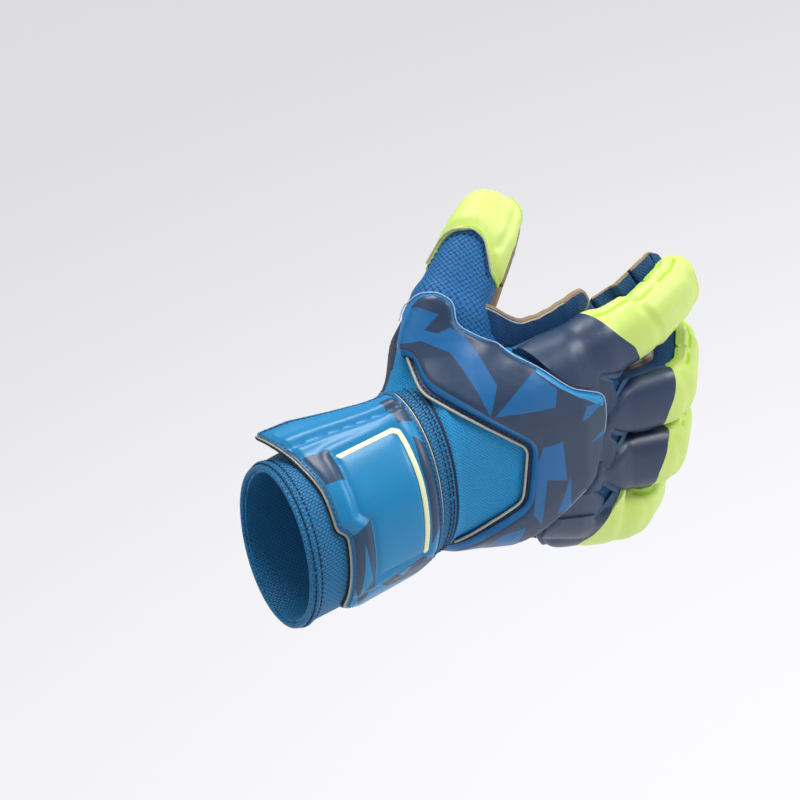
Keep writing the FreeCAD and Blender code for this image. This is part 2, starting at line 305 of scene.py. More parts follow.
def cast(origin, direction, reach=120.0, steps=70):
    """First point of the hand skin along each ray, or the point that passes it closest."""
    t = np.zeros(len(origin))
    best, best_t = np.full(len(origin), 1e9), np.zeros(len(origin))
    for _ in range(steps):
        f = hand_field(origin + direction * t[:, None])
        closer = f < best
        best = np.where(closer, f, best)
        best_t = np.where(closer, t, best_t)
        t = t + np.where(f < 0.02, 0, np.maximum(f * 0.8, 0.15))
        t = np.minimum(t, reach)
    hit = best < 0.3
    point = origin + direction * best_t[:, None]
    normal = np.where(hit[:, None], gradient(hand_field, point), -direction)
    return point, unit(normal), hit


THUMB_WEB = 17.0            # reach of the blend between the hand and the thumb


class BackSkin:
    """Seen from behind the hand: u runs to the fingers, v to the thumb side. Beyond the turn
    line towards the little finger, v goes on round the edge of the hand."""
    TURN = -30.0
    ROUND = 21.0
    CENTRE = -1.0
    SIDE = 1.0

    def skin(self, u, v):
        u, v = pair(u, v)
        shape = u.shape
        u, v = u.ravel(), v.ravel()
        angle = np.maximum(0, self.TURN - v) / self.ROUND
        out = np.stack([0 * u, -np.sin(angle), self.SIDE * np.cos(angle)], 1)
        foot = np.stack([u, np.maximum(v, self.TURN), 0 * u + self.CENTRE], 1)
        origin = HAND_AXES.out(foot + out * 90)
        direction = -out @ HAND_AXES.r.T
        point, normal, _ = cast(origin, direction, 150.0)
        return point.reshape(shape + (3,)), normal.reshape(shape + (3,))


class PalmSkin(BackSkin):
    SIDE = -1.0
    TURN = -300.0

HAND_AXES = hand_frame()
# How far each digit's tube runs back into the hand from its first joint.
BACK_OFF = {"thumb": 0.0, "index": 40.0, "middle": 28.0, "ring": 32.0, "little": 46.0}
TUBES = {name: Tube(name, BACK_OFF[name]) for name in HALF}
HAND_REACH = 14.0           # how far past a first joint a digit's skin can lie on the hand
HAND_FADE = 9.0             # the stretch over which the hand's skin goes over into the digit's
HIGHEST_LIFT = 12.0         # the most that the hand lifts a digit's skin


class DigitSkin:
    """A digit's skin in millimetres: u runs along it from its first joint, v round it towards
    the thumb side. Where the hand is thicker than the digit, the skin is the hand's."""

    def __init__(self, name, over_hand=True):
        self.tube = TUBES[name]
        self.over_hand = over_hand

    def skin(self, u, v):
        u, v = pair(u, v)
        p, n = self.tube.skin(u, v / self.tube.half_round)
        if not self.over_hand:
            return p, n
        shape = p.shape
        p, n = p.reshape(-1, 3).copy(), n.reshape(-1, 3).copy()
        reach = HAND_REACH + (40 if self.tube is TUBES["thumb"] else 0)
        near = np.where(u.ravel() < reach)[0]
        if len(near):
            lift = np.zeros(len(near))
            for _ in range(24):
                f = hand_field(p[near] + n[near] * lift[:, None])
                lift += np.where(f < -0.05, np.maximum(-f * 0.7, 0.1), 0)
            fade = np.clip((reach - u.ravel()[near]) / HAND_FADE, 0, 1)
            lift = np.minimum(lift, HIGHEST_LIFT) * fade ** 2 * (3 - 2 * fade)
            moved = p[near] + n[near] * lift[:, None]
            share = np.clip(lift / 3, 0, 1)[:, None]
            n[near] = unit(n[near] * (1 - share) + gradient(hand_field, moved) * share)
            p[near] = moved
        return p.reshape(shape), n.reshape(shape)


# Mesh building ---------------------------------------------------------------

def make_object(name, points, faces, materials, index=None, uv=None, sharp=42):
    """A piece from points in millimetres. index is each face's material, uv each point's
    place in the weave, also in millimetres."""
    mesh = bpy.data.meshes.new(name)
    mesh.from_pydata((np.asarray(points) * MM).tolist(), [], [list(map(int, f)) for f in faces])
    for material in materials:
        mesh.materials.append(material)
    if index is not None:
        mesh.polygons.foreach_set("material_index", np.asarray(index, np.int32))
    if uv is None:
        uv = box_weave(mesh)
    else:
        corner = np.zeros(len(mesh.loops), int)
        mesh.loops.foreach_get("vertex_index", corner)
        uv = np.asarray(uv, float)[corner]
    layer = mesh.uv_layers.new(name="weave")
    layer.data.foreach_set("uv", (uv * 0.1).ravel())
    mesh.polygons.foreach_set("use_smooth", [True] * len(mesh.polygons))
    mesh.update()
    mesh.set_sharp_from_angle(angle=math.radians(sharp))
    obj = bpy.data.objects.new(name, mesh)
    bpy.context.scene.collection.objects.link(obj)
    return obj


def box_weave(mesh):
    """Weave coordinates by projecting each face along its largest direction, in millimetres."""
    points = np.zeros(len(mesh.vertices) * 3)
    mesh.vertices.foreach_get("co", points)
    points = HAND_AXES.into(points.reshape(-1, 3) / MM)
    out = np.zeros((len(mesh.loops), 2))
    for face in mesh.polygons:
        n = HAND_AXES.r.T @ np.array(face.normal)
        drop = int(np.argmax(np.abs(n)))
        keep = [k for k in range(3) if k != drop]
        for corner in face.loop_indices:
            out[corner] = points[mesh.loops[corner].vertex_index][keep]
    return out


def settle(obj, bodies, nodes=(), bend=None):
    """Hangs a piece on a body. Where bend is given, the piece only has its place baked in and hangs on no
    body; the two ends that bend gives are not used.
    """
    if bend is None:
        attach(obj, bodies)
    else:
        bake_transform(obj)
    if nodes:
        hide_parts(*nodes)
    return obj


def cut_back(corner, neighbour, radius, share):
    """Where a rounded corner starts on the way to its neighbour."""
    way = neighbour - corner
    return corner + unit(way) * min(radius, share * np.linalg.norm(way))


def softened(corners, radius):
    """A closed outline with its corners rounded, as points and the number of the edge after each."""
    corners = np.asarray(corners, float)
    count = len(corners)
    points, edge = [], []
    for i in range(count):
        before, here, after = corners[i - 1], corners[i], corners[(i + 1) % count]
        a, b = cut_back(here, before, radius, 0.42), cut_back(here, after, radius, 0.42)
        for t in np.linspace(0, 1, 7):
            points.append(curve(a, here, b, t))
            edge.append(i - 1 if t < 0.5 else i)
    return np.array(points), np.array(edge) % count


def spaced(points, spacing, closed=True, tags=None):
    """The same line with points about one spacing apart; tags follow their stretch."""
    out, kept = [], []
    count = len(points)
    for i in range(count if closed else count - 1):
        a, b = points[i], points[(i + 1) % count]
        pieces = max(1, int(round(np.linalg.norm(b - a) / spacing)))
        if np.linalg.norm(b - a) < 0.15 * spacing:
            continue
        for t in range(pieces):
            out.append(a + (b - a) * t / pieces)
            kept.append(0 if tags is None else tags[i])
    if not closed:
        out.append(points[-1])
        kept.append(kept[-1])
    return np.array(out), np.array(kept)


def inside(points, outline):
    hit = np.zeros(len(points), bool)
    x, y = points[:, 0], points[:, 1]
    for a, b in zip(outline, np.roll(outline, -1, 0)):
        if a[1] == b[1]:
            continue
        cross = (a[1] > y) != (b[1] > y)
        hit ^= cross & (x < (b[0] - a[0]) * (y - a[1]) / (b[1] - a[1]) + a[0])
    return hit


def distance(points, starts, ends):
    """Distance in the plane from each point to the nearest of the stretches."""
    best = np.full(len(points), 1e9)
    for a, b in zip(starts, ends):
        along = b - a
        t = np.clip((points - a) @ along / max(along @ along, 1e-9), 0, 1)
        best = np.minimum(best, np.linalg.norm(points - a - t[:, None] * along, axis=1))
    return best


def rim_distance(points, outline):
    return distance(points, outline, np.roll(outline, -1, 0))


def line_distance(points, line):
    line = np.asarray(line, float)
    return distance(points, line[:-1], line[1:])


def pillow(flat, low, high, reach):
    """Height over a flat stitched flange that turns up into a rounded pad."""
    def height(d):
        q = np.clip((d - flat) / reach, 0, 1)
        return low + (high - low) * np.sqrt(1 - (1 - q) ** 2)
    return height


def panel(name, skin, corners, height, materials, radius=3.0, spacing=1.5, depth=1.0,
          flat_edges=(), patches=(), band=None, grooves=(), edge=0, under=None, relief=None):
    """A padded panel on a skin. corners is its outline; flat_edges are the edges where it runs
    on into its neighbour; patches are (outline, material) prints; band is (width, material)
    along the rim; grooves are (line, half width, depth); edge and under are the materials of the
    cut sides and the underside; relief(u, v, distance to the rim) adds height."""
    raw, tags = softened(corners, radius)
    rim, tags = spaced(raw, spacing, tags=tags)
    following = np.roll(rim, -1, 0)
    padded = ~np.isin(tags, list(flat_edges))
    low, high = rim.min(0), rim.max(0)
    rows = np.arange(low[1], high[1], spacing * 0.87)
    grid = []
    for number, y in enumerate(rows):
        xs = np.arange(low[0] + (number % 2) * spacing / 2, high[0], spacing)
        grid.append(np.stack([xs, np.full(len(xs), y)], 1))
    grid = np.concatenate(grid)
    grid = grid[inside(grid, rim)]
    grid = grid[rim_distance(grid, rim) > 0.55 * spacing]
    loops = [rim] + [spaced(np.asarray(outline, float), spacing)[0] for outline, _ in patches]
    if band:
        ahead = unit(following - np.roll(rim, 1, 0))
        inward = np.stack([-ahead[:, 1], ahead[:, 0]], 1)
        area = np.sum(rim[:, 0] * following[:, 1] - following[:, 0] * rim[:, 1])
        inset = rim + inward * band[0] * np.sign(area)
        inset = inset[rim_distance(inset, rim) > band[0] * 0.93]
        grid = grid[np.abs(rim_distance(grid, rim) - band[0]) > 0.35 * spacing]
        loops.append(inset)
    for loop in loops[1:]:
        grid = grid[rim_distance(grid, loop) > 0.4 * spacing]
    points = [Vector(p) for loop in loops for p in loop] + [Vector(p) for p in grid]
    edges, first = [], 0
    for loop in loops:
        count = len(loop)
        gaps = np.linalg.norm(loop - np.roll(loop, -1, 0), axis=1)
        edges += [(first + i, first + (i + 1) % count) for i in range(count) if gaps[i] < 2.5 * spacing]
        first += count
    flat, _, faces, _, _, _ = delaunay_2d_cdt(points, edges, [], 0, 1e-3, False)
    flat = np.array([tuple(p) for p in flat])
    faces = np.array([f for f in faces if len(f) == 3])
    middle = flat[faces].mean(1)
    keep = inside(middle, rim)
    faces, middle = faces[keep], middle[keep]
    used, faces = np.unique(faces, return_inverse=True)
    flat, faces = flat[used], faces.reshape(-1, 3)
    index = np.zeros(len(faces), int)
    for outline, number in patches:
        index[inside(middle, np.asarray(outline, float))] = number
    if band:
        index[distance(middle, rim[padded], following[padded]) < band[0]] = band[1]
    gap = distance(flat, rim[padded], following[padded]) if padded.any() else np.full(len(flat), 99.0)
    up = height(gap)
    for line, half, drop in grooves:
        up = up - drop * np.exp(-(line_distance(flat, line) / half) ** 2) * np.clip(gap / 2, 0, 1)
    if relief is not None:
        up = up + relief(flat[:, 0], flat[:, 1], gap)
    p, n = skin.skin(flat[:, 0], flat[:, 1])
    top, bottom = p + n * up[:, None], p - n * depth
    sample = faces[0]
    facing = np.cross(top[sample[1]] - top[sample[0]], top[sample[2]] - top[sample[0]]) @ n[sample[0]]
    if facing < 0:
        faces = faces[:, ::-1]
    sides = dict.fromkeys((f[k - 3], f[k - 2]) for f in faces for k in range(3))
    count = len(flat)
    wall = [(b, a, a + count, b + count) for a, b in sides if (b, a) not in sides]
    all_faces = faces.tolist() + (faces[:, ::-1] + count).tolist() + wall
    under = edge if under is None else under
    index = np.concatenate([index, np.full(len(faces), under), np.full(len(wall), edge)])
    uv = np.concatenate([flat, flat + (up + depth)[:, None] * [0.3, 1.0]])
    return make_object(name, np.concatenate([top, bottom]), all_faces, materials, index, uv)


def ring_faces(count, sides, closed=False):
    """Faces over a row of rings of points, closed on itself or with a cap at each end."""
    faces = []
    for i in range(count if closed else count - 1):
        a, b = i * sides, (i + 1) % count * sides
        faces += [(a + j, a + (j + 1) % sides, b + (j + 1) % sides, b + j) for j in range(sides)]
    if not closed:
        faces += [tuple(range(sides))[::-1], tuple(range((count - 1) * sides, count * sides))]
    return faces


def sweep(path, radius, sides, closed, normals):
    """Points and faces of a cord along a path."""
    ahead = unit(np.roll(path, -1, 0) - np.roll(path, 1, 0))
    if not closed:
        ahead[0], ahead[-1] = unit(path[1] - path[0]), unit(path[-1] - path[-2])
    up = unit(normals - ahead * np.sum(normals * ahead, 1, keepdims=True))
    side = np.cross(ahead, up)
    angles = (np.arange(sides) * 2 * math.pi / sides)[None, :, None]
    ring = np.cos(angles) * side[:, None] + np.sin(angles) * up[:, None]
    return (path[:, None] + ring * radius).reshape(-1, 3), ring_faces(len(path), sides, closed)


def joined(parts):
    points, faces, first = [], [], 0
    for p, f in parts:
        points.append(p)
        faces += [tuple(i + first for i in face) for face in f]
        first += len(p)
    return np.concatenate(points), faces


def on_skin(skin, line, height, spacing=1.2, closed=False):
    """Points and normals of a line that lies on a skin at a height."""
    line, _ = spaced(np.asarray(line, float), spacing, closed)
    p, n = skin.skin(line[:, 0], line[:, 1])
    return p + n * height, n


def cord(name, runs, radius, material, closed=False):
    """A piping: runs are (points, normals)."""
    points, faces = joined([sweep(p, radius, 8, closed, n) for p, n in runs])
    return make_object(name, points, faces, [material], sharp=60)


STITCH_BOW = np.array([-0.35, 0.55, 1.0, 0.55, -0.35])   # how a stitch rises out of the cloth


def thread(name, runs, material, length=2.3, gap=1.1, radius=0.3, bow=0.3):
    """A row of stitches along each (points, normals) run."""
    parts = []
    for p, n in runs:
        steps = np.linalg.norm(np.diff(p, axis=0), axis=1)
        run = np.concatenate([[0], np.cumsum(steps)])
        count = max(1, int(run[-1] / (length + gap)))
        pitch = run[-1] / count
        for i in range(count):
            t = np.linspace(i * pitch, i * pitch + length, 5)
            q = np.stack([np.interp(t, run, p[:, k]) for k in range(3)], 1)
            m = np.stack([np.interp(t, run, n[:, k]) for k in range(3)], 1)
            parts.append(sweep(q + m * (STITCH_BOW * bow)[:, None], radius, 6, False, m))
    points, faces = joined(parts)
    return make_object(name, points, faces, [material], sharp=60)


def centre_at(tube, s):
    return tube.section(np.array([float(s)]))[0][0]


def bend_span(tube, s, before, after):
    """Both ends of the stretch that bends at a joint."""
    return centre_at(tube, s - before), centre_at(tube, s + after)


# Materials -------------------------------------------------------------------

class Nodes:
    """Adds nodes to a material and links them."""

    def __init__(self, material):
        material.use_nodes = True
        self.tree = material.node_tree
        self.shader = self.tree.nodes["Principled BSDF"]

    def add(self, kind, **values):
        """A node of a kind. Values are its inputs, with _ for a space; a socket is linked."""
        node = self.tree.nodes.new("ShaderNode" + kind)
        self.fill(node, values)
        return node

    def fill(self, node, values):
        for key, value in values.items():
            socket = node.inputs[key.replace("_", " ")]
            if isinstance(value, bpy.types.NodeSocket):
                self.tree.links.new(value, socket)
            else:
                socket.default_value = value

    def mix(self, share, first, second):
        """The colour between two, each a colour or a socket."""
        node = self.tree.nodes.new("ShaderNodeMix")
        node.data_type = "RGBA"
        for number, value in ((0, share), (6, first), (7, second)):
            if isinstance(value, bpy.types.NodeSocket):
                self.tree.links.new(value, node.inputs[number])
            else:
                node.inputs[number].default_value = value
        return node.outputs[2]


HOLLOW_SHADE_TONE = 0.12          # brightness of the painted shade at the bottom of a weave's hollows


def finish_of(name, colour, roughness, pattern=None, pitch=1.6, depth=0.4, shade=0.7, tone=0.12,
              grain=0.15, grain_size=0.35, coat=0.0, sheen=0.0, turn=0.0, second=None):
    """A procedural finish. pattern is mesh, knit, rib or none; pitch is its size in millimetres,
    shade how dark the painted shade in its hollows is, tone the slow change of colour, grain a fine bump."""
    material = bpy.data.materials.new(name)
    nodes = Nodes(material)
    place = nodes.add("TexCoord").outputs["UV"]
    turned = nodes.add("Mapping", Rotation=(0, 0, math.radians(turn)), Vector=place).outputs["Vector"]
    slow = nodes.add("TexNoise", Scale=0.35, Detail=3, Vector=place).outputs["Fac"]
    dark = [c * (1 - tone) for c in colour]
    light = [min(1, c * (1 + tone)) for c in (second or colour)]
    shown = nodes.mix(slow, (*dark, 1), (*light, 1))
    fine = nodes.add("TexNoise", Scale=10 / grain_size, Detail=4, Vector=turned).outputs["Fac"]
    normal = nodes.add("Bump", Strength=grain, Distance=0.0003, Height=fine).outputs["Normal"]
    if pattern:
        raised = weave_height(nodes, turned, pattern, pitch)
        # painted shade: the hollows of the weave are drawn in a darker copy of the colour
        shaded_hollow = nodes.mix(shade, shown, (*[c * HOLLOW_SHADE_TONE for c in colour], 1))
        shown = nodes.mix(raised, shaded_hollow, shown)
        relief = nodes.add("Bump", Strength=1.0, Distance=depth * MM, Height=raised, Normal=normal)
        normal = relief.outputs["Normal"]
    worn = nodes.add("MapRange", To_Min=max(0.05, roughness - 0.08), To_Max=min(1.0, roughness + 0.1),
                     Value=slow)
    nodes.fill(nodes.shader, dict(
        Roughness=worn.outputs["Result"], Base_Color=shown, Normal=normal, Coat_Weight=coat,
        Coat_Roughness=0.35, Sheen_Weight=sheen, Sheen_Roughness=0.4,
        Sheen_Tint=(*[min(1, 0.4 + c) for c in colour], 1)))
    return material


def weave_height(nodes, place, pattern, pitch):
    """A socket that is 1 on the raised threads and 0 in the hollows."""
    if pattern == "mesh":
        cells = nodes.add("TexVoronoi", Scale=10 / pitch, Randomness=0.12, Vector=place)
        cells.voronoi_dimensions = "2D"
        height, low, high = cells.outputs["Distance"], 0.66, 0.34
    elif pattern == "knit":
        bricks = nodes.add("TexBrick", Scale=1.0, Brick_Width=pitch * 0.16, Row_Height=pitch * 0.1,
                           Mortar_Size=pitch * 0.022, Mortar_Smooth=1.0, Vector=place)
        height, low, high = bricks.outputs["Fac"], 1.0, 0.0
    else:
        waves = nodes.add("TexWave", Scale=10 / pitch / 2, Distortion=0.4, Vector=place)
        height, low, high = waves.outputs["Fac"], 0.1, 0.7
    ramp = nodes.add("MapRange", From_Min=low, From_Max=high, Value=height)
    ramp.interpolation_type = "SMOOTHSTEP"
    return ramp.outputs["Result"]


AIR_MESH = finish_of("air_mesh_blue", (0.004, 0.3, 0.66), 0.6, "mesh", 1.15, 0.3, 0.45, sheen=0.05, turn=40)
THUMB_MESH = finish_of("thumb_mesh_blue", (0.002, 0.14, 0.4), 0.6, "mesh", 1.7, 0.4, 0.6, sheen=0.04, turn=32)
GUSSET = finish_of("gusset_blue", (0.002, 0.08, 0.24), 0.6, "mesh", 1.2, 0.3, 0.6, sheen=0.05, turn=45)
SIDE_DARK = finish_of("side_navy", (0.008, 0.03, 0.085), 0.6, "mesh", 1.2, 0.3, 0.5, sheen=0.1, turn=45)
KNIT = finish_of("cuff_knit_blue", (0.006, 0.2, 0.46), 0.6, "knit", 1.35, 0.5, 0.6, sheen=0.06)
NAVY = finish_of("satin_navy", (0.016, 0.042, 0.1), 0.38, grain=0.25, coat=0.25, tone=0.18)
NAVY_FLANGE = finish_of("flange_navy", (0.012, 0.045, 0.12), 0.5, grain=0.35, tone=0.1)
FLANGE_PALE = finish_of("flange_grey_blue", (0.035, 0.095, 0.18), 0.5, grain=0.35, tone=0.1)
PRINT_MID = finish_of("print_mid_blue", (0.002, 0.13, 0.36), 0.38, grain=0.25, coat=0.2)
PRINT_PALE = finish_of("print_pale_blue", (0.01, 0.28, 0.58), 0.38, grain=0.25, coat=0.2)
RIM = finish_of("rim_blue", (0.004, 0.17, 0.46), 0.36, grain=0.2, coat=0.25)
# painted highlight: a pale line that stands for the light caught on the backhand pad's rim
RIM_HIGHLIGHT = finish_of("rim_painted_highlight", (0.45, 0.6, 0.72), 0.4, grain=0.2)
YELLOW = finish_of("latex_yellow", (0.56, 0.78, 0.1), 0.45, grain=0.2, tone=0.06,
                   second=(0.74, 0.88, 0.3))
# painted shade: a deeper lime drawn along the rims and in the grooves of the yellow latex; it is also the
# thread colour of the stitches on it
YELLOW_SHADE_AND_THREAD = finish_of("latex_yellow_shade_and_thread", (0.42, 0.74, 0.03), 0.5, grain=0.2, tone=0.08)
PALM = finish_of("latex_palm", (0.66, 0.66, 0.64), 0.75, grain=0.6, grain_size=0.6, tone=0.08)
RAW = finish_of("raw_latex_edge", (0.33, 0.24, 0.15), 0.85, grain=0.9, grain_size=0.8, tone=0.2)
PIPING = finish_of("piping_cream", (0.68, 0.65, 0.52), 0.5, "rib", 0.8, 0.15, 0.35)
THREAD = finish_of("thread_navy", (0.004, 0.02, 0.06), 0.6, "rib", 0.4, 0.1, 0.4)
THREAD_BLUE = finish_of("thread_blue", (0.05, 0.26, 0.5), 0.55, "rib", 0.4, 0.1, 0.4)
BINDING = finish_of("binding_navy", (0.005, 0.025, 0.075), 0.6, "rib", 0.9, 0.2, 0.5)
STRAP_BLUE = finish_of("strap_blue", (0.001, 0.23, 0.5), 0.38, grain=0.2, coat=0.15, tone=0.1)
STRAP_NAVY = finish_of("strap_print_navy", (0.02, 0.06, 0.13), 0.4, grain=0.2, coat=0.15)
STRAP_RIM = finish_of("strap_rim_blue", (0.002, 0.11, 0.28), 0.42, grain=0.3)
TRIM = finish_of("trim_yellow", (0.93, 0.97, 0.55), 0.42, grain=0.15, tone=0.04, second=(0.95, 0.98, 0.68))
HOOKS = finish_of("hook_black", (0.012, 0.013, 0.016), 0.85, "mesh", 1.1, 0.4, 0.7)
ELASTIC = finish_of("strap_elastic", (0.006, 0.02, 0.05), 0.65, "rib", 1.4, 0.3, 0.6)


# Hand ------------------------------------------------------------------------

BACK = BackSkin()
PALM_SIDE = PalmSkin()
CUFF_RADIUS = 36.8
CUFF_FLARE = 5.5            # how far the thumb side of the cuff opens at the hand
FLARE_START = 50.0          # where along the cuff it starts to open
SEAM_AT = 77.2              # where along the cuff the hand is sewn on
SHEAR = 0.23                # the cuff's seams lean by this much of the height z
WRIST = HAND_AXES.o
HEEL = (WRIST + [-8, 0, 0], WRIST + [9, 0, 0])      # the stretch round the wrist
ROUND = TUBES["index"].half_round   # half way round a finger, the same for every digit


def stub_field(p):
    """Sleeve that joins the hand to the cuff, just inside the cuff's flare."""
    q = p - WRIST
    radius = np.hypot(q[:, 1], q[:, 2])
    u = p[:, 0] - SHEAR * p[:, 2]
    rise = np.clip(q[:, 2] / np.maximum(radius, 1), 0, 1) ** 1.5
    wall = CUFF_RADIUS - 0.9 + CUFF_FLARE * np.clip((u - FLARE_START) / 27, 0, 1) ** 2 * rise
    return np.maximum(radius - wall, np.maximum(u - 80, 62 - u))


def base_field(p):
    """The glove's inner shell: the hand, cut short inside the cuff and at the digits."""
    at_seam = np.maximum(0, 80.5 - p[:, 0] + SHEAR * p[:, 2])
    f = palm_field(p) + at_seam
    f = smooth_min(f, limb_field(p, "thumb", 0, 0, 32) + at_seam, THUMB_WEB)
    for name in FINGERS:
        f = smooth_min(f, limb_field(p, name, 0, -16, -3), 6.0)
    return smooth_min(f, stub_field(p), 7.0)


def solid_tube(tube, s0, s1, shrink, sides=28, step=3.0):
    """A closed stretch of a digit's tube, a little inside its skin."""
    s = np.linspace(s0, s1, max(3, int((s1 - s0) / step)))
    w = np.arange(sides) * 2 / sides - 1
    grid_s, grid_w = np.meshgrid(s, w, indexing="ij")
    p, n = tube.skin(grid_s, grid_w)
    return (p - n * shrink).reshape(-1, 3), ring_faces(len(s), sides)


def surface_net(field, low, high, step):
    """Points and faces of the surface where the field is 0, one point per grid cell it crosses."""
    axes = [np.arange(low[k], high[k] + step, step) for k in range(3)]
    grid = np.stack(np.meshgrid(*axes, indexing="ij"), -1)
    value = field(grid.reshape(-1, 3)).reshape(grid.shape[:3])
    total = np.zeros(grid.shape)
    hits = np.zeros(value.shape)
    quads = []
    for axis in range(3):
        ahead = [slice(None)] * 3
        behind = [slice(None)] * 3
        behind[axis], ahead[axis] = slice(0, -1), slice(1, None)
        fa, fb = value[tuple(behind)], value[tuple(ahead)]
        cross = (fa < 0) != (fb < 0)
        place = np.argwhere(cross)
        point = grid[tuple(place.T)].copy()
        point[:, axis] += fa[cross] / (fa[cross] - fb[cross]) * step
        one, two = (axis + 1) % 3, (axis + 2) % 3
        ring = []
        for du, dv in ((0, 0), (-1, 0), (-1, -1), (0, -1)):
            cell = place.copy()
            cell[:, one] += du
            cell[:, two] += dv
            np.add.at(total, tuple(cell.T), point)
            np.add.at(hits, tuple(cell.T), 1)
            ring.append(np.ravel_multi_index(cell.T, value.shape))
        ring = np.stack(ring, 1)
        outward = fa[cross] < 0
        quads.append(np.where(outward[:, None], ring, ring[:, ::-1]))
    hits, total, quads = hits.ravel(), total.reshape(-1, 3), np.concatenate(quads)
    used = np.where(hits > 0)[0]
    number = np.zeros(len(hits), int)
    number[used] = np.arange(len(used))
    return total[used] / hits[used][:, None], number[quads]


def make_hand_base():
    """The glove's inner shell: mesh on the back and in the web, joined on to the cuff."""
    corner = HAND_AXES.out(np.array([[x, y, z] for x in (-22, 108) for y in (-64, 92) for z in (-44, 44)]))
    points, faces = surface_net(base_field, corner.min(0), corner.max(0), 2.0)
    for _ in range(4):
        points = points - gradient(base_field, points) * (base_field(points) + 0.7)[:, None]
    obj = make_object("hand_base", points, faces, [AIR_MESH, GUSSET, SIDE_DARK], sharp=80)
    q = HAND_AXES.into(points)
    middle = q[faces].mean(1)
    index = np.where(middle[:, 0] > 50, 1, 0)
    index = np.where(middle[:, 2] < -12, 2, index)
    obj.data.polygons.foreach_set("material_index", index.astype(np.int32))
    obj.data.update()
    settle(obj, ("cuff", "hand"),
           ("hand_lining", "wrist_lining", "backhand_mesh", "ulnar_gusset", "radial_gusset"),
           bend=HEEL)


# Outlines on the back of the hand as (towards the fingers, towards the thumb).
PAD = ((-5, 56), (2, 67.5), (11, 79.5), (18, 80.5), (24, 76), (23, 66.5), (40, 54), (44, 50.5), (55, 45),
       (68.5, 34), (87, 26.5), (87, 13.5), (83, 0.5), (78.5, -12.5), (60.5, -25.5), (48, -33.5),
       (34, -43), (28, -58), (8, -60), (3, -46), (10, -32), (43, -15.5), (47, 12.8), (33.5, 22.5),
       (2, 44), (1.5, 55))
WINDOW = ((1.5, 55), (2, 44), (33.5, 22.5), (47, 12.8), (43, -15.5), (10, -32))
PAD_PRINTS = (
    (((-6, 58), (0, 68), (10, 74), (17, 71.5), (9, 64.5), (18.6, 61.5), (6.5, 60.2)), 1),
    (((20, 65), (24.3, 61.5), (33, 40), (26.6, 29.5), (16.5, 54.5), (6.5, 60.2), (12.8, 62.1)), 1),
    (((55, 49), (61, 43), (70, 38), (92, 28), (82, 22.5), (61.3, 35.8), (52, 43)), 2),
    (((50.6, 43.4), (28.5, 29), (57.7, 28.3), (60, 35.5)), 1),
    (((73, 25), (83, 24), (70.7, 18.5)), 1),
    (((50, 11.5), (60, 12), (61.3, -7), (51, -4.2), (48.4, -25), (44.5, -19.5), (47, 4)), 1),
    (((63.1, -5.8), (64, -21), (56.2, -23.4)), 1),
    (((90, 15), (90, 10), (73.6, 7)), 1),
    (((29.8, -27), (41.3, -25), (39, -36), (25.5, -32)), 1),
    (((8, -36), (20, -33), (30, -50), (12, -58)), 1),
)


def make_backhand():
    grooves = [(((44, 26), (50, 16), (47, -14)), 3.0, 0.5)]

    def swell(u, v, gap):
        return 0.9 * np.clip(gap / 12, 0, 1) ** 0.7

    pad = panel("backhand_pad", BACK, PAD, pillow(0.4, 1.5, 4.6, 2.6), [NAVY, PRINT_MID, PRINT_PALE, RIM],
                radius=5, spacing=1.3, depth=2.4, patches=PAD_PRINTS, band=(1.5, 3), grooves=grooves,
                relief=swell)
    settle(pad, "hand", ("backhand_pad", "thumb_lobe_pad"))
    edge = softline(PAD[1:18], 5)
    p, n = on_skin(BACK, edge, 2.4, 1.3)
    # painted highlight: a pale cord along the pad's rim
    light = cord("backhand_rim_highlight", [(p, n)], 0.34, RIM_HIGHLIGHT)
    settle(light, "hand")
    window = np.array(WINDOW, float)
    inner = inset_line(window, 2.6)
    strip = np.concatenate([inset_line(window, -1.5), inner[::-1]])
    flange = panel("window_flange", BACK, strip, pillow(0.2, 0.7, 0.8, 0.6), [NAVY_FLANGE], radius=2.5,
                   spacing=1.3, depth=1.0)
    settle(flange, "hand")
    p, n = on_skin(BACK, softline(inner, 3.5), 1.0, 1.2)
    piping = cord("window_piping", [(p, n)], 0.62, PIPING)
    settle(piping, "hand", ("window_piping",))
    p, n = on_skin(BACK, softline(inset_line(window, 1.2), 4), 0.85, 1.2)
    row = thread("window_stitches", [(p, n)], THREAD, length=1.7, gap=0.9, radius=0.25)
    settle(row, "hand")


def inset_line(line, amount):
    """An open line moved to its right by an amount in millimetres."""
    line = np.asarray(line, float)
    ahead = unit(np.diff(line, axis=0))
    first, last = np.vstack([ahead[:1], ahead]), np.vstack([ahead, ahead[-1:]])
    normal = np.stack([-(first + last)[:, 1], (first + last)[:, 0]], 1)
    half = np.sqrt(np.clip((1 + np.sum(first * last, 1)) / 2, 0.3, 1))
    return line - unit(normal) * (amount / half)[:, None]


def softline(points, radius):
    """An open line with its inner corners rounded."""
    points = np.asarray(points, float)
    out = [points[0]]
    for before, here, after in zip(points[:-2], points[1:-1], points[2:]):
        a, b = cut_back(here, before, radius, 0.4), cut_back(here, after, radius, 0.4)
        out += [curve(a, here, b, t) for t in np.linspace(0, 1, 6)]
    out.append(points[-1])
    return np.array(out)


KNUCKLES = ((57, 43), (66, 52), (80, 53), (92, 50), (93, 40), (85, 35.5), (93, 31), (95, 22), (95, 9),
            (89.5, 4.5), (94, 0), (91, -14), (79, -19.5), (86, -27), (80, -40), (66, -44), (50, -38),
            (62, -20), (76, 0), (78, 18), (66, 30))


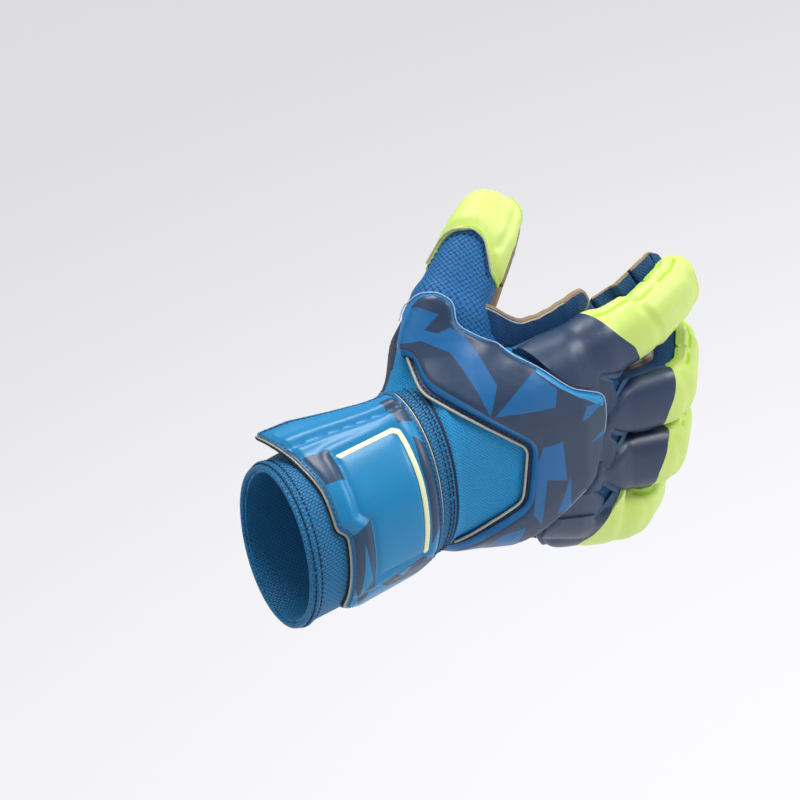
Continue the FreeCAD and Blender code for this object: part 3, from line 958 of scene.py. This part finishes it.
def make_knuckles():
    """The sheet in front of the backhand pad, notched at the slots between the fingers."""
    sheet = panel("knuckle_sheet", BACK, KNUCKLES, pillow(0.8, 0.8, 2.2, 1.6), [NAVY, FLANGE_PALE],
                  radius=1.6, spacing=1.4, depth=1.0, band=(1.0, 1))
    settle(sheet, "hand")


PALM_OUTLINE = ((7, -34), (22, -41), (48, -44), (72, -46), (82, -43), (88, -20), (91, 8), (90, 30), (86, 49),
                (72, 48), (58, 44), (46, 47), (30, 44), (14, 33), (7, 26))


def make_palm():
    grooves = [(((6, 4), (40, 8), (58, 30)), 1.6, 0.8),
               (((62, -40), (66, -10), (70, 26), (66, 44)), 1.5, 0.7)]
    palm = panel("palm_latex", PALM_SIDE, PALM_OUTLINE, pillow(0.3, 2.4, 3.6, 1.2), [PALM, RAW],
                 radius=8, spacing=1.8, depth=1.5, grooves=grooves, edge=1)
    settle(palm, ("cuff", "hand"), ("palm_panel",), HEEL)
    rim, _ = softened(PALM_OUTLINE, 8)
    centre = rim.mean(0)
    p, n = on_skin(PALM_SIDE, centre + (rim - centre) * 0.93, 3.55, 1.5)
    settle(thread("palm_stitches", [(p, n)], PIPING, bow=0.15), ("cuff", "hand"), bend=HEEL)


WEB = ((34, 64), (37.5, 73), (43.4, 70.5), (51.8, 63.9), (57, 61), (67.6, 62.6), (79, 67.5), (88, 72),
       (92, 64), (84, 54), (64, 44), (44, 50))


class WebSkin:
    """A nearly flat sheet across the hand, level with the fork of the thumb."""

    def skin(self, u, v):
        u, v = pair(u, v)
        z = -7.5 + 0.35 * np.sin(u * 0.9) * np.clip((v - 56) / 6, 0, 1)
        n = np.broadcast_to(HAND_AXES.r[:, 2], u.shape + (3,))
        return HAND_AXES.out(np.stack([u, v, z], -1)), n


def make_web():
    skin = WebSkin()
    web = panel("thumb_web_gusset", skin, WEB, pillow(0.2, 1.3, 2.2, 3.0), [GUSSET, RAW, PALM], radius=4,
                spacing=1.4, depth=1.6, edge=1, under=2, band=(1.0, 1))
    settle(web, "hand")
    p, n = on_skin(skin, softline(np.array(WEB[1:7]) - [1.2, 1.4], 4), 1.9, 1.2)
    settle(cord("thumb_web_trim", [(p, n)], 0.4, PIPING), "hand")


# Fingers ---------------------------------------------------------------------

# Where each finger's navy sheet ends, as (place along the finger, place round it).
SEAM = {"index": ((15, -0.32), (14, -0.05), (7, 0.25), (0, 0.6)),
        "middle": ((21, -0.39), (22.5, -0.25), (25.6, 0), (29.6, 0.41)),
        "ring": ((21.5, -0.39), (22.3, -0.13), (25.3, 0.2), (30, 0.41)),
        "little": ((-12, -0.5), (-8, -0.2), (0.8, 0.17), (13, 0.38))}
# The long sides of a finger's back as places round it, and where its navy sheet starts.
SIDE = {"index": (-0.32, 0.6), "middle": (-0.39, 0.41), "ring": (-0.39, 0.41), "little": (-0.5, 0.38)}
REAR = {"index": -36, "middle": -26, "ring": -30, "little": -36}
LIFT = {"index": 0.0, "middle": 0.25, "ring": 0.0, "little": 0.25}    # keeps neighbouring sheets apart


def under_pad(skin, wing=0.0):
    """Lowers a finger's sheet where the backhand pad covers it; wing lifts its thumb-side
    edge at the knuckle."""
    outline = np.array(PAD, float)

    def relief(u, v, gap):
        p, _ = skin.skin(u, v)
        q = HAND_AXES.into(p)[:, :2]
        away = rim_distance(q, outline) * np.where(inside(q, outline), 1, -1)
        sunk = -4.6 * np.clip((away + 1.5) / 3.5, 0, 1) * (u < 6)
        return sunk + wing * np.clip((v / ROUND - 0.3) / 0.25, 0, 1) * np.exp(-((u - 1) / 13) ** 2)
    return relief


def make_finger_backs(name):
    tube, skin = TUBES[name], DigitSkin(name)
    near, far = tube.joint_s
    low, high = (side * ROUND for side in SIDE[name])
    seam = np.array([(s, w * ROUND) for s, w in SEAM[name]])
    front = seam[:, 0].max()
    split = (near + far) / 2
    flat = pillow(2.0, 0.9, 3.1 + LIFT[name], 3.6)
    wing = 2.0 if name == "index" else 0.0
    rear = REAR[name]
    if name == "index":
        navy = [(rear, high * 0.85), (rear + 6, high * 0.4), (-20, low * 0.3), (-7, low * 0.4),
                (3, low * 0.85)]
    elif name == "little":
        navy = [(rear, 6), (rear + 2, low * 0.3), (-28, low * 0.62), (-20, low * 0.85)]
    else:
        navy = [(rear, high * 0.3), (rear, low * 0.3), (-8, low * 0.34), (2, low * 0.72), (12, low)]
    navy += [tuple(p) for p in seam]
    navy += [(-18, high * 0.98)] if name == "index" else [(11, high), (3, high * 0.72), (-7, high * 0.36)]
    seam_edges = {navy.index(tuple(p)) for p in seam[:-1]}
    count = len(navy)
    behind = {i for i in range(count) if max(navy[i][0], navy[(i + 1) % count][0]) < -1} - seam_edges
    if name == "index":
        behind -= {count - 2, count - 1}
    if name == "little":
        behind -= {1, 2, 3}
    back = panel(f"{name}_back_navy", skin, navy, flat, [NAVY, FLANGE_PALE], radius=2, spacing=1.4,
                 depth=1.2, flat_edges=seam_edges | behind, band=(1.7, 1), relief=under_pad(skin, wing))
    settle(back, ("hand", f"{name}_proximal"), bend=bend_span(tube, 0, 10, 10))
    if name == "little":
        mid = near / 2
        part = [*map(tuple, seam), (mid, high), (mid, low)]
        # painted shade: the band along this yellow piece's rim is in the deeper lime
        root = panel("little_back_root", skin, part, flat, [YELLOW, YELLOW_SHADE_AND_THREAD], radius=1, spacing=1.5,
                     depth=1.2, flat_edges={0, 1, 2, 4}, band=(0.9, 1), relief=under_pad(skin))
        settle(root, ("hand", "little_proximal"), bend=bend_span(tube, 0, 10, 9))
        start = [(mid, low), (mid, high)]
        front = mid
    else:
        start = [tuple(p) for p in seam]
        if seam[-1][1] < high:
            start.append((seam[-1][0] + 0.5, high))
    part = start + [(split, high), (split, low)]
    open_edges = set(range(len(start) - 1)) | {len(start)}
    # painted shade: the band along this yellow piece's rim and the strip in its thumb-side groove are in the
    # deeper lime
    lower = panel(f"{name}_back_yellow", skin, part, flat, [YELLOW, YELLOW_SHADE_AND_THREAD], radius=1, spacing=1.4,
                  depth=1.2, flat_edges=open_edges, band=(0.9, 1), relief=under_pad(skin, wing),
                  **knuckle_lines(near, low, high, seam[-1][0] + 5, split - 2))
    pairs = [(f"{name}_proximal", f"{name}_middle"), (f"{name}_middle", f"{name}_tip")]
    spans = [bend_span(tube, near, 7, 8), bend_span(tube, far, 6, 7)]
    settle(lower, pairs[0], (f"{name}_proximal_back", f"{name}_middle_back"), spans[0])
    end = tube.end - 0.9
    part = [(split, low), (split, high), (end - 5, high * 1.05), (end, high * 0.6), (end, low * 0.9),
            (end - 5, low * 1.3)]
    # painted shade: the band along this yellow piece's rim and the strip in its thumb-side groove are in the
    # deeper lime
    upper = panel(f"{name}_tip_yellow", skin, part, flat, [YELLOW, YELLOW_SHADE_AND_THREAD], radius=4, spacing=1.4,
                  depth=1.2, flat_edges={0}, band=(0.9, 1),
                  **knuckle_lines(far, low, high, split + 2.5, end - 8))
    settle(upper, pairs[1], (f"{name}_tip_back",), spans[1])
    stretches = ((max(front, seam[-1][0]) + 1, split), (split + 0.4, end - 11))
    for k, (a, b) in enumerate(stretches):
        lines = [on_skin(skin, [(a, v), (b, v)], 0.95, 1.0) for v in (low + 1.2, high - 1.2)]
        row = thread(f"{name}_stitches_{k}", lines, YELLOW_SHADE_AND_THREAD, length=1.8, gap=1.0, radius=0.22, bow=0.2)
        settle(row, pairs[k], bend=spans[k])


def knuckle_lines(joint, low, high, start, end):
    """The groove across a knuckle, and the groove along the thumb side with painted shade drawn along it."""
    v = high * 0.66
    across = ((joint - 1, low * 0.9), (joint + 1, 0), (joint - 1, high * 0.9))
    groove_shade_strip = ((start, v - 0.8), (end, v - 0.8), (end, v + 0.8), (start, v + 0.8))
    return dict(grooves=[(across, 1.1, 1.0), (((start, v), (end, v)), 1.2, 1.3)], patches=[(groove_shade_strip, 1)])


def make_finger_liners(name):
    """The blue gusset tubes between the back and the palm, and the palm's latex pads."""
    tube = TUBES[name]
    near, far = tube.joint_s
    cuts = [-13, near / 2 + 1, (near + far) / 2, tube.end - 0.3]
    bones = [f"{name}_{part}" for part in ("proximal", "middle", "tip")]
    pairs = list(zip(["hand"] + bones, bones))
    spans = [bend_span(tube, 0, 8, 9), bend_span(tube, near, 7, 8), bend_span(tube, far, 6, 7)]
    skin = DigitSkin(name, over_hand=False)
    for k in range(3):
        points, faces = solid_tube(tube, cuts[k] - 0.2 * (k > 0), cuts[k + 1] + 0.2 * (k < 2), 0.35, 40, 1.6)
        weave = liner_weave(len(points) // 40, cuts[k], cuts[k + 1], tube)
        liner = make_object(f"{name}_liner_{k}", points, faces, [GUSSET], uv=weave)
        settle(liner, pairs[k], (f"{bones[k]}_sleeve",) if k < 2 else (), spans[k])
        spread = 0.34 if k or name == "index" else 0.25
        low, high = (1 - spread) * ROUND, (1.34 if name == "little" else 1 + min(spread, 0.3)) * ROUND
        a = cuts[k] + 0.25 if k else (-6.0 if name == "index" else 3.0)
        b = cuts[k + 1] - (0.25 if k < 2 else 0.9)
        part = [(a, low), (b, low), (b, high), (a, high)]
        if k == 2:
            part = [(a, low), (b - 2.5, low), (b, low + 4), (b, high - 4), (b - 2.5, high), (a, high)]
        fin = side_fin(low, cuts[3] - 9) if name == "index" else None
        joint = (0, near, far)[k]
        pad = panel(f"{name}_palm_{k}", skin, part, pillow(0.2, 1.6, 2.8, 1.2), [PALM, RAW, GUSSET],
                    radius=2.5, band=(1.3, 1) if fin else None, spacing=1.6, depth=0.9, relief=fin,
                    flat_edges={1, 3} if k < 2 else {5}, edge=2 if fin else 1,
                    grooves=[(((joint, low), (joint, high)), 1.3, 1.2)])
        settle(pad, pairs[k], (f"{bones[k]}_palm",), spans[k])
        if fin:
            along = np.arange(a + 0.5, b - (5 if k == 2 else 0.3), 1.2)
            p, n = skin.skin(along, np.full(len(along), low + 0.7))
            rise = 1.9 + fin(along, low + 0.7, 0)
            edge = cord(f"{name}_fin_edge_{k}", [(p + n * rise[:, None], n)], 0.75, RAW)
            settle(edge, pairs[k], bend=spans[k])


def side_fin(low, end):
    """The palm stands out past the index finger's thumb side."""
    def relief(u, v, gap):
        out = np.clip(1 - (v - low) / (0.13 * ROUND), 0, 1)
        return 5.0 * out * (2 - out) * np.clip((end + 9 - u) / 9, 0, 1)
    return relief


def liner_weave(count, start, end, tube):
    s = np.repeat(np.linspace(start, end, count), 40)
    w = np.tile(np.arange(40) * 2 / 40 - 1, count) * tube.half_round
    return np.stack([s, w], 1)


# Thumb -----------------------------------------------------------------------

THUMB_CUTS = (28, 66)       # where the thumb's mesh starts, and where its tip piece starts
# The front of the thumb's mesh as (place along it, place round it).
ARCH = ((60, 0.47), (71.8, 0.43), (77.7, 0.28), (80.6, 0.12), (79.2, -0.03), (70.3, -0.15), (64.9, -0.225))


def make_thumb():
    tube, skin = TUBES["thumb"], DigitSkin("thumb")
    turn = tube.half_round
    knuckle, last = tube.joint_s
    pairs = [("hand", "thumb_proximal"), ("thumb_proximal", "thumb_tip")]
    spans = [bend_span(tube, knuckle, 11, 11), bend_span(tube, last, 7, 8)]
    cuts = (*THUMB_CUTS, tube.end - 0.3)
    nodes = (("thumb_base_sleeve", "thumb_web", "thumb_proximal_sleeve", "thumb_proximal_back"),
             ("thumb_tip_sleeve",))
    for k in range(2):
        s = np.linspace(cuts[k], cuts[k + 1], int((cuts[k + 1] - cuts[k]) / 1.4))
        w = np.arange(56) * 2 / 56 - 1
        grid_s, grid_w = np.meshgrid(s, w, indexing="ij")
        p, n = skin.skin(grid_s, grid_w * turn)
        sink = np.interp(grid_s, (cuts[0], cuts[0] + 10), (1.3, 0.2))[..., None]
        uv = np.stack([grid_s.ravel(), grid_w.ravel() * turn], 1)
        sleeve = make_object(f"thumb_mesh_{k}", (p - n * sink).reshape(-1, 3), ring_faces(len(s), 56),
                             [THUMB_MESH], uv=uv)
        settle(sleeve, pairs[k], nodes[k], spans[k])
    arch = [(s, w * turn) for s, w in ARCH]
    end = tube.end - 1.0
    ring = [(62, -0.44), (end - 12, -0.44), (end - 2, -0.2), (end, 0.05), (end - 2, 0.3), (end - 12, 0.6)]
    cap = [(s, w * turn) for s, w in ((58, 0.62), *ARCH, *ring)]
    groove = [(s, w * turn) for s, w in ((77.7, -0.18), (84, -0.21), (end - 6, -0.22))]

    def corner_wing(u, v, gap):
        return 6.5 * np.clip((-v / turn - 0.12) / 0.3, 0, 1) * np.clip((u - end + 14) / 12, 0, 1)

    # painted shade: the band along the cap's rim is in the deeper lime
    yellow = panel("thumb_cap_yellow", skin, cap, pillow(1.8, 0.7, 2.4, 3.0), [YELLOW, YELLOW_SHADE_AND_THREAD], radius=3,
                   spacing=1.4, depth=1.0, band=(0.9, 1), grooves=[(groove, 1.3, 1.2)], relief=corner_wing)
    settle(yellow, pairs[1], ("thumb_tip_back",), spans[1])
    p, n = on_skin(skin, softline(arch, 3), 1.5, 1.0)
    settle(cord("thumb_arch_trim", [(p, n)], 0.5, PIPING), pairs[1], bend=spans[1])
    seam = np.array(arch) * [1, 0.9] - [1.8, 0]
    p, n = on_skin(skin, softline(seam, 3), 0.0, 1.0)
    settle(thread("thumb_arch_stitches", [(p, n)], THREAD, length=1.8, radius=0.22),
           pairs[1], bend=spans[1])
    low, high = 0.66 * turn, 1.5 * turn
    cut = cuts[1]
    base = [(12, low + 6), (30, low + 1), (cut, low), (cut, high), (30, high), (12, high)]
    cut += 0.3
    tip = [(cut, low), (end - 2, low), (end + 0.7, low + 4), (end + 0.7, high - 4), (end - 2, high),
           (cut, high)]
    nodes = (("thumb_base_palm", "thumb_proximal_palm"), ("thumb_tip_palm",))
    for k, (part, cut_edge) in enumerate(((base, 2), (tip, 5))):
        pad = panel(f"thumb_palm_{k}", skin, part, pillow(0.2, 1.6, 2.9, 1.2), [PALM, RAW], radius=3,
                    spacing=1.7, band=(1.3, 1), depth=1.0, flat_edges={cut_edge}, edge=1)
        settle(pad, pairs[k], nodes[k], spans[k])


# Cuff and strap --------------------------------------------------------------

class CuffSkin:
    """Round the wrist: u runs towards the hand, v round it to the thumb side from the back, in
    millimetres. The seams lean with height, and the thumb side flares to meet the hand."""

    def __init__(self, radius, lift=0.0):
        self.radius, self.lift = radius, lift

    def skin(self, u, v):
        u, v = pair(u, v)
        angle = v / CUFF_RADIUS
        to_hand = np.clip((u - FLARE_START) / 27, 0, 1)
        flare = CUFF_FLARE * to_hand ** 2 * np.maximum(0, np.sin(angle)) ** 1.5
        free = np.clip((angle - 1.15) / 0.75, 0, 1.3) ** 1.6
        wing = self.lift * free * np.clip((72 - u) / 52, 0, 1)
        fold = 0.35 * np.sin(u / 9.0 + 1.3 * np.sin(angle * 2)) * np.clip(u / 10, 0, 1) * (self.lift == 0)
        r = self.radius + flare + wing + fold
        z = r * np.sin(angle)
        p = np.stack([u + SHEAR * z, -r * np.cos(angle), z], -1)
        n = np.stack([0 * angle, -np.cos(angle), np.sin(angle)], -1)
        return p, n


def arc(degrees):
    return math.radians(degrees) * CUFF_RADIUS


def polar(corners):
    """Corners given as (place along the cuff, degrees round it)."""
    return [(x, arc(angle)) for x, angle in corners]


def knit_sleeve(skin, start, end, wall, step=1.3, around=160):
    """The cuff's double wall, with the weave laid out flat on each face."""
    u = np.linspace(start, end, int((end - start) / step) + 2)
    pitch = 2 * math.pi * CUFF_RADIUS / around
    v = np.arange(around) * pitch + arc(180)
    p, n = skin.skin(*np.meshgrid(u, v, indexing="ij"))
    points = np.concatenate([p.reshape(-1, 3), (p - n * wall).reshape(-1, 3)])
    count = len(u) * around
    faces, uv = [], []
    for i in range(len(u) - 1):
        for j in range(around):
            a, b = i * around + j, i * around + (j + 1) % around
            face = [a, b, b + around, a + around]
            place = [(u[i], v[j]), (u[i], v[j] + pitch), (u[i + 1], v[j] + pitch), (u[i + 1], v[j])]
            faces += [face, [corner + count for corner in face[::-1]]]
            uv += place + place[::-1]
    for i in (0, len(u) - 1):
        for j in range(around):
            a, b = i * around + j, i * around + (j + 1) % around
            face = (a, a + count, b + count, b)
            faces.append(face if i == 0 else face[::-1])
            uv += [(u[i], v[j])] * 4
    obj = make_object("cuff_knit_sleeve", points, faces, [KNIT], uv=np.zeros((len(points), 2)))
    obj.data.uv_layers[0].data.foreach_set("uv", (np.array(uv) * 0.1).ravel())
    return obj


def ring_line(skin, u, height, around=200):
    """Points and normals round the cuff at a place along it."""
    v = np.arange(around) / around * 2 * math.pi * CUFF_RADIUS
    p, n = skin.skin(np.full(around, float(u)), v)
    return p + n * height, n


def make_cuff():
    skin = CuffSkin(CUFF_RADIUS)
    knit = knit_sleeve(skin, 1.5, SEAM_AT - 0.2, 3.6)
    settle(knit, "cuff", ("cuff_knit",))
    hem = cord("cuff_hem_piping", [ring_line(skin, 1.0, -1.2), ring_line(skin, 3.6, -0.2)], 1.25, KNIT, True)
    settle(hem, "cuff", ("cuff_hem_binding",))
    runs = [ring_line(skin, 5.6, 0.1), ring_line(skin, 2.3, 0.2)]
    rows = thread("cuff_hem_stitches", runs, THREAD, length=1.6, gap=1.0, radius=0.26)
    settle(rows, "cuff")
    seam = cord("hand_seam_cord", [ring_line(skin, SEAM_AT, -0.5)], 0.85, BINDING, True)
    settle(seam, "cuff", ("hand_seam_piping",))
    runs = [ring_line(skin, SEAM_AT - behind, 0.1) for behind in (2.0, 3.8)]
    rows = thread("hand_seam_stitches", runs, THREAD, length=1.8, gap=1.0, radius=0.26)
    settle(rows, "cuff")
    patch = panel("cuff_loop_patch", skin, polar(((24, 76), (24, 106), (60, 100), (60, 76))),
                  pillow(0.3, 0.3, 0.8, 0.8), [HOOKS, BINDING], radius=4, spacing=2, depth=0.6,
                  band=(1.2, 1))
    settle(patch, "cuff", ("loop_patch",))
    tab = panel("strap_anchor", skin, polar(((25, -112), (25, -78), (63, -78), (63, -112))),
                pillow(0.8, 0.6, 1.3, 1.2), [ELASTIC, BINDING], radius=3, spacing=1.8, depth=0.8,
                band=(1.6, 1))
    settle(tab, "cuff", ("strap_anchor_tab",))
    lines = [on_skin(skin, polar(((x, -110), (x, -84))), 1.0) for x in (27.5, 60.5)]
    settle(thread("anchor_stitches", lines, THREAD_BLUE), "cuff")


STRAP_RADIUS, STRAP_LIFT = 38.3, 10.0   # the strap's inside, and how far its free end stands off
# Outlines on the cuff as (place along it, degrees round it).
STRAP = ((20, -50), (20, 12), (15.4, 18), (15, 45), (11, 78), (4, 109), (30, 104), (50, 99), (66, 92),
         (67.6, 86), (67.6, 20), (67.6, -43), (62, -58), (62, -84), (26, -84), (26, -60))
CENTRE_PANEL = ((26.5, 62), (57.3, 60), (58.3, 20), (58, -29), (32, -27), (31.5, 14), (26.5, 22))


def grown_corners(corners, amount):
    """An outline moved out by an amount in millimetres."""
    corners = np.asarray(corners, float)
    ahead, back = unit(np.roll(corners, -1, 0) - corners), unit(corners - np.roll(corners, 1, 0))
    follow = np.roll(corners, -1, 0)
    sign = np.sign(np.sum(corners[:, 0] * follow[:, 1] - follow[:, 0] * corners[:, 1]))
    normal = np.stack([ahead[:, 1] + back[:, 1], -ahead[:, 0] - back[:, 0]], 1) * sign
    return corners + unit(normal) * amount


def make_strap():
    skin = CuffSkin(STRAP_RADIUS, STRAP_LIFT)
    cover = polar(STRAP)
    centre = np.array(polar(CENTRE_PANEL))
    free_fold = polar(((9, 84), (30, 81), (52, 76), (68, 72)))
    lower_fold = polar(((21, -40), (44, -34), (67, -36)))

    def relief(u, v, gap):
        p = np.stack([u, v], 1)
        away = rim_distance(p, centre)
        within = inside(p, centre)
        plateau = np.where(within, 0.35 * np.clip(away / 6, 0, 1), 0)
        channel = -1.0 * np.exp(-(away / 1.3) ** 2)
        swell = np.where(within, 0, 0.9 * np.exp(-((away - 4.0) / 2.4) ** 2))
        fold = -1.3 * np.exp(-(line_distance(p, free_fold) / 1.5) ** 2)
        ridge = 0.9 * np.exp(-((line_distance(p, free_fold) - 3.4) / 1.7) ** 2)
        return (plateau + channel + swell + fold + ridge) * np.clip(gap / 3, 0, 1)

    prints = [(polar(((14, 72), (25.5, 68), (26, 44), (17, 47))), 1),
              (polar(((59, 84), (70, 80), (70, 55), (59.5, 60))), 1),
              (polar(((62, 48), (66.5, 40), (66.5, -8), (60.5, -22), (60.5, 30))), 1),
              (polar(((20, 10), (31, 15), (31.5, -30), (26, -52), (22, -30))), 1),
              (polar(((26, 4), (29, -24), (24, -40))), 0),
              (polar(((34, -33), (58, -31), (66, -42), (60, -52), (40, -44))), 1),
              (polar(((44, -34), (52, -33), (48, -40))), 0)]
    shell = panel("strap_cover", skin, cover, pillow(2.0, 1.4, 2.7, 2.6), [STRAP_BLUE, STRAP_NAVY, STRAP_RIM],
                  radius=3, spacing=1.15, depth=0.1, patches=prints, band=(1.7, 2),
                  grooves=[(lower_fold, 1.6, 0.7)], relief=relief)
    hinge = ((0, 0, -38.4), (0, 0, -35.6))
    settle(shell, ("cuff", "strap"), ("strap_moulded_cover",), hinge)
    edge = panel("strap_edge_layer", skin, grown_corners(cover, 0.8), pillow(0.2, 0.55, 0.6, 0.4),
                 [RAW, PIPING], radius=3, spacing=1.6, depth=0.15, band=(1.0, 1), edge=1)
    settle(edge, ("cuff", "strap"), bend=hinge)
    band = panel("strap_underlay", skin, grown_corners(cover, 1.5), pillow(0.2, -0.1, 0.0, 0.4),
                 [HOOKS, ELASTIC], radius=3, spacing=1.6, depth=0.75)
    settle(band, ("cuff", "strap"), ("strap_band", "strap_binding"), hinge)
    hooks = panel("strap_hook_patch", skin, polar(((22, 80), (22, 102), (40, 98), (60, 92), (62, 78))),
                  pillow(0.2, -0.4, -0.3, 0.4), [HOOKS], radius=3, spacing=1.6, depth=1.15)
    settle(hooks, "strap", ("hook_patch",))
    trim_line = polar(((27, 61.8), (56, 60.6), (59.2, 56), (60.2, 20), (59.6, -28), (57, -28), (57.6, 20),
                       (56.8, 54.5), (55, 56.6), (28.5, 57.4)))
    trim = panel("strap_trim", skin, trim_line, pillow(0.1, 2.6, 3.0, 0.7), [TRIM], radius=1.2, spacing=0.9,
                 depth=-1.0)
    settle(trim, "strap", ("strap_trim_line",))
    rim, _ = softened(grown_corners(cover, -1.1), 3)
    p, n = on_skin(skin, rim, 1.5, 1.0, True)
    settle(thread("strap_stitches", [(p, n)], THREAD_BLUE, length=1.7, gap=0.9, radius=0.22),
           ("cuff", "strap"), bend=hinge)


# Stage -----------------------------------------------------------------------

VIEW_AZIMUTH, VIEW_HEIGHT, VIEW_ROLL = -24.0, 25.0, 17.5
VIEW_DISTANCE = 0.95        # metres
LOOK = Vector((0.108, 0.0, 0.010))
LOOK_SHIFT = (-0.0825, 0.02875)     # how far the aim turns right and up of LOOK, in frame widths
LENS, SENSOR = 92.0, 36.0


def make_camera():
    a, e = math.radians(VIEW_AZIMUTH), math.radians(VIEW_HEIGHT)
    back = Vector((math.sin(a) * math.cos(e), -math.cos(a) * math.cos(e), math.sin(e)))
    right = Vector((math.cos(a), math.sin(a), 0))
    up = back.cross(right)
    roll = math.radians(VIEW_ROLL)
    right, up = right * math.cos(roll) - up * math.sin(roll), up * math.cos(roll) + right * math.sin(roll)
    across, above = (share * SENSOR / LENS for share in LOOK_SHIFT)
    ahead = (-back + right * across + up * above).normalized()
    side = ahead.cross(up).normalized()
    top = side.cross(ahead)
    camera = bpy.data.objects.new("camera", bpy.data.cameras.new("camera"))
    bpy.context.scene.collection.objects.link(camera)
    camera.data.lens, camera.data.sensor_width = LENS, SENSOR
    camera.data.clip_start, camera.data.clip_end = 0.05, 50
    turn = Matrix((side, top, -ahead)).transposed().to_4x4()
    camera.matrix_world = Matrix.Translation(LOOK + back * VIEW_DISTANCE) @ turn
    bpy.context.scene.camera = camera
    return back, right, up


def area_light(name, offset, size, watts):
    """A round light at an offset from LOOK, turned towards it."""
    lamp = bpy.data.lights.new(name, "AREA")
    lamp.shape, lamp.size, lamp.energy = "DISK", size, watts
    obj = bpy.data.objects.new(name, lamp)
    obj.location = LOOK + offset
    obj.rotation_mode = "QUATERNION"
    obj.rotation_quaternion = offset.to_track_quat("Z", "Y")
    bpy.context.scene.collection.objects.link(obj)


def make_stage():
    back, right, up = make_camera()
    area_light("top", Vector((0.15, 0.1, 1.1)), 0.6, 10.5)
    area_light("key", back * 0.45 + right * 0.85 + up * 0.75, 0.4, 6)
    area_light("fill", back * 0.9 - right * 0.9 + up * 0.1, 0.9, 1.6)
    world = bpy.data.worlds.new("studio")
    bpy.context.scene.world = world
    world.use_nodes = True
    sky = world.node_tree.nodes["Background"]
    sky.inputs["Color"].default_value = (0.92, 0.93, 0.95, 1)
    sky.inputs["Strength"].default_value = 0.36
    bpy.context.scene.view_settings.view_transform = "Standard"
    paint = bpy.data.materials.new("floor_pale")
    nodes = Nodes(paint)
    nodes.fill(nodes.shader, dict(Base_Color=(0.36, 0.36, 0.37, 1), Roughness=0.9,
                                  Emission_Color=(0.97, 0.97, 1.0, 1), Emission_Strength=0.6))
    below = CAD_BOX[0].z - 0.25
    mesh = bpy.data.meshes.new("floor")
    mesh.from_pydata([(x * 12, y * 12, below) for x, y in ((-1, -1), (1, -1), (1, 1), (-1, 1))],
                     [], [(0, 1, 2, 3)])
    mesh.materials.append(paint)
    floor = bpy.data.objects.new("floor", mesh)
    bpy.context.scene.collection.objects.link(floor)


make_hand_base()
make_backhand()
make_knuckles()
make_palm()
make_web()
for finger in FINGERS:
    make_finger_backs(finger)
    make_finger_liners(finger)
make_thumb()
make_cuff()
make_strap()
make_stage()
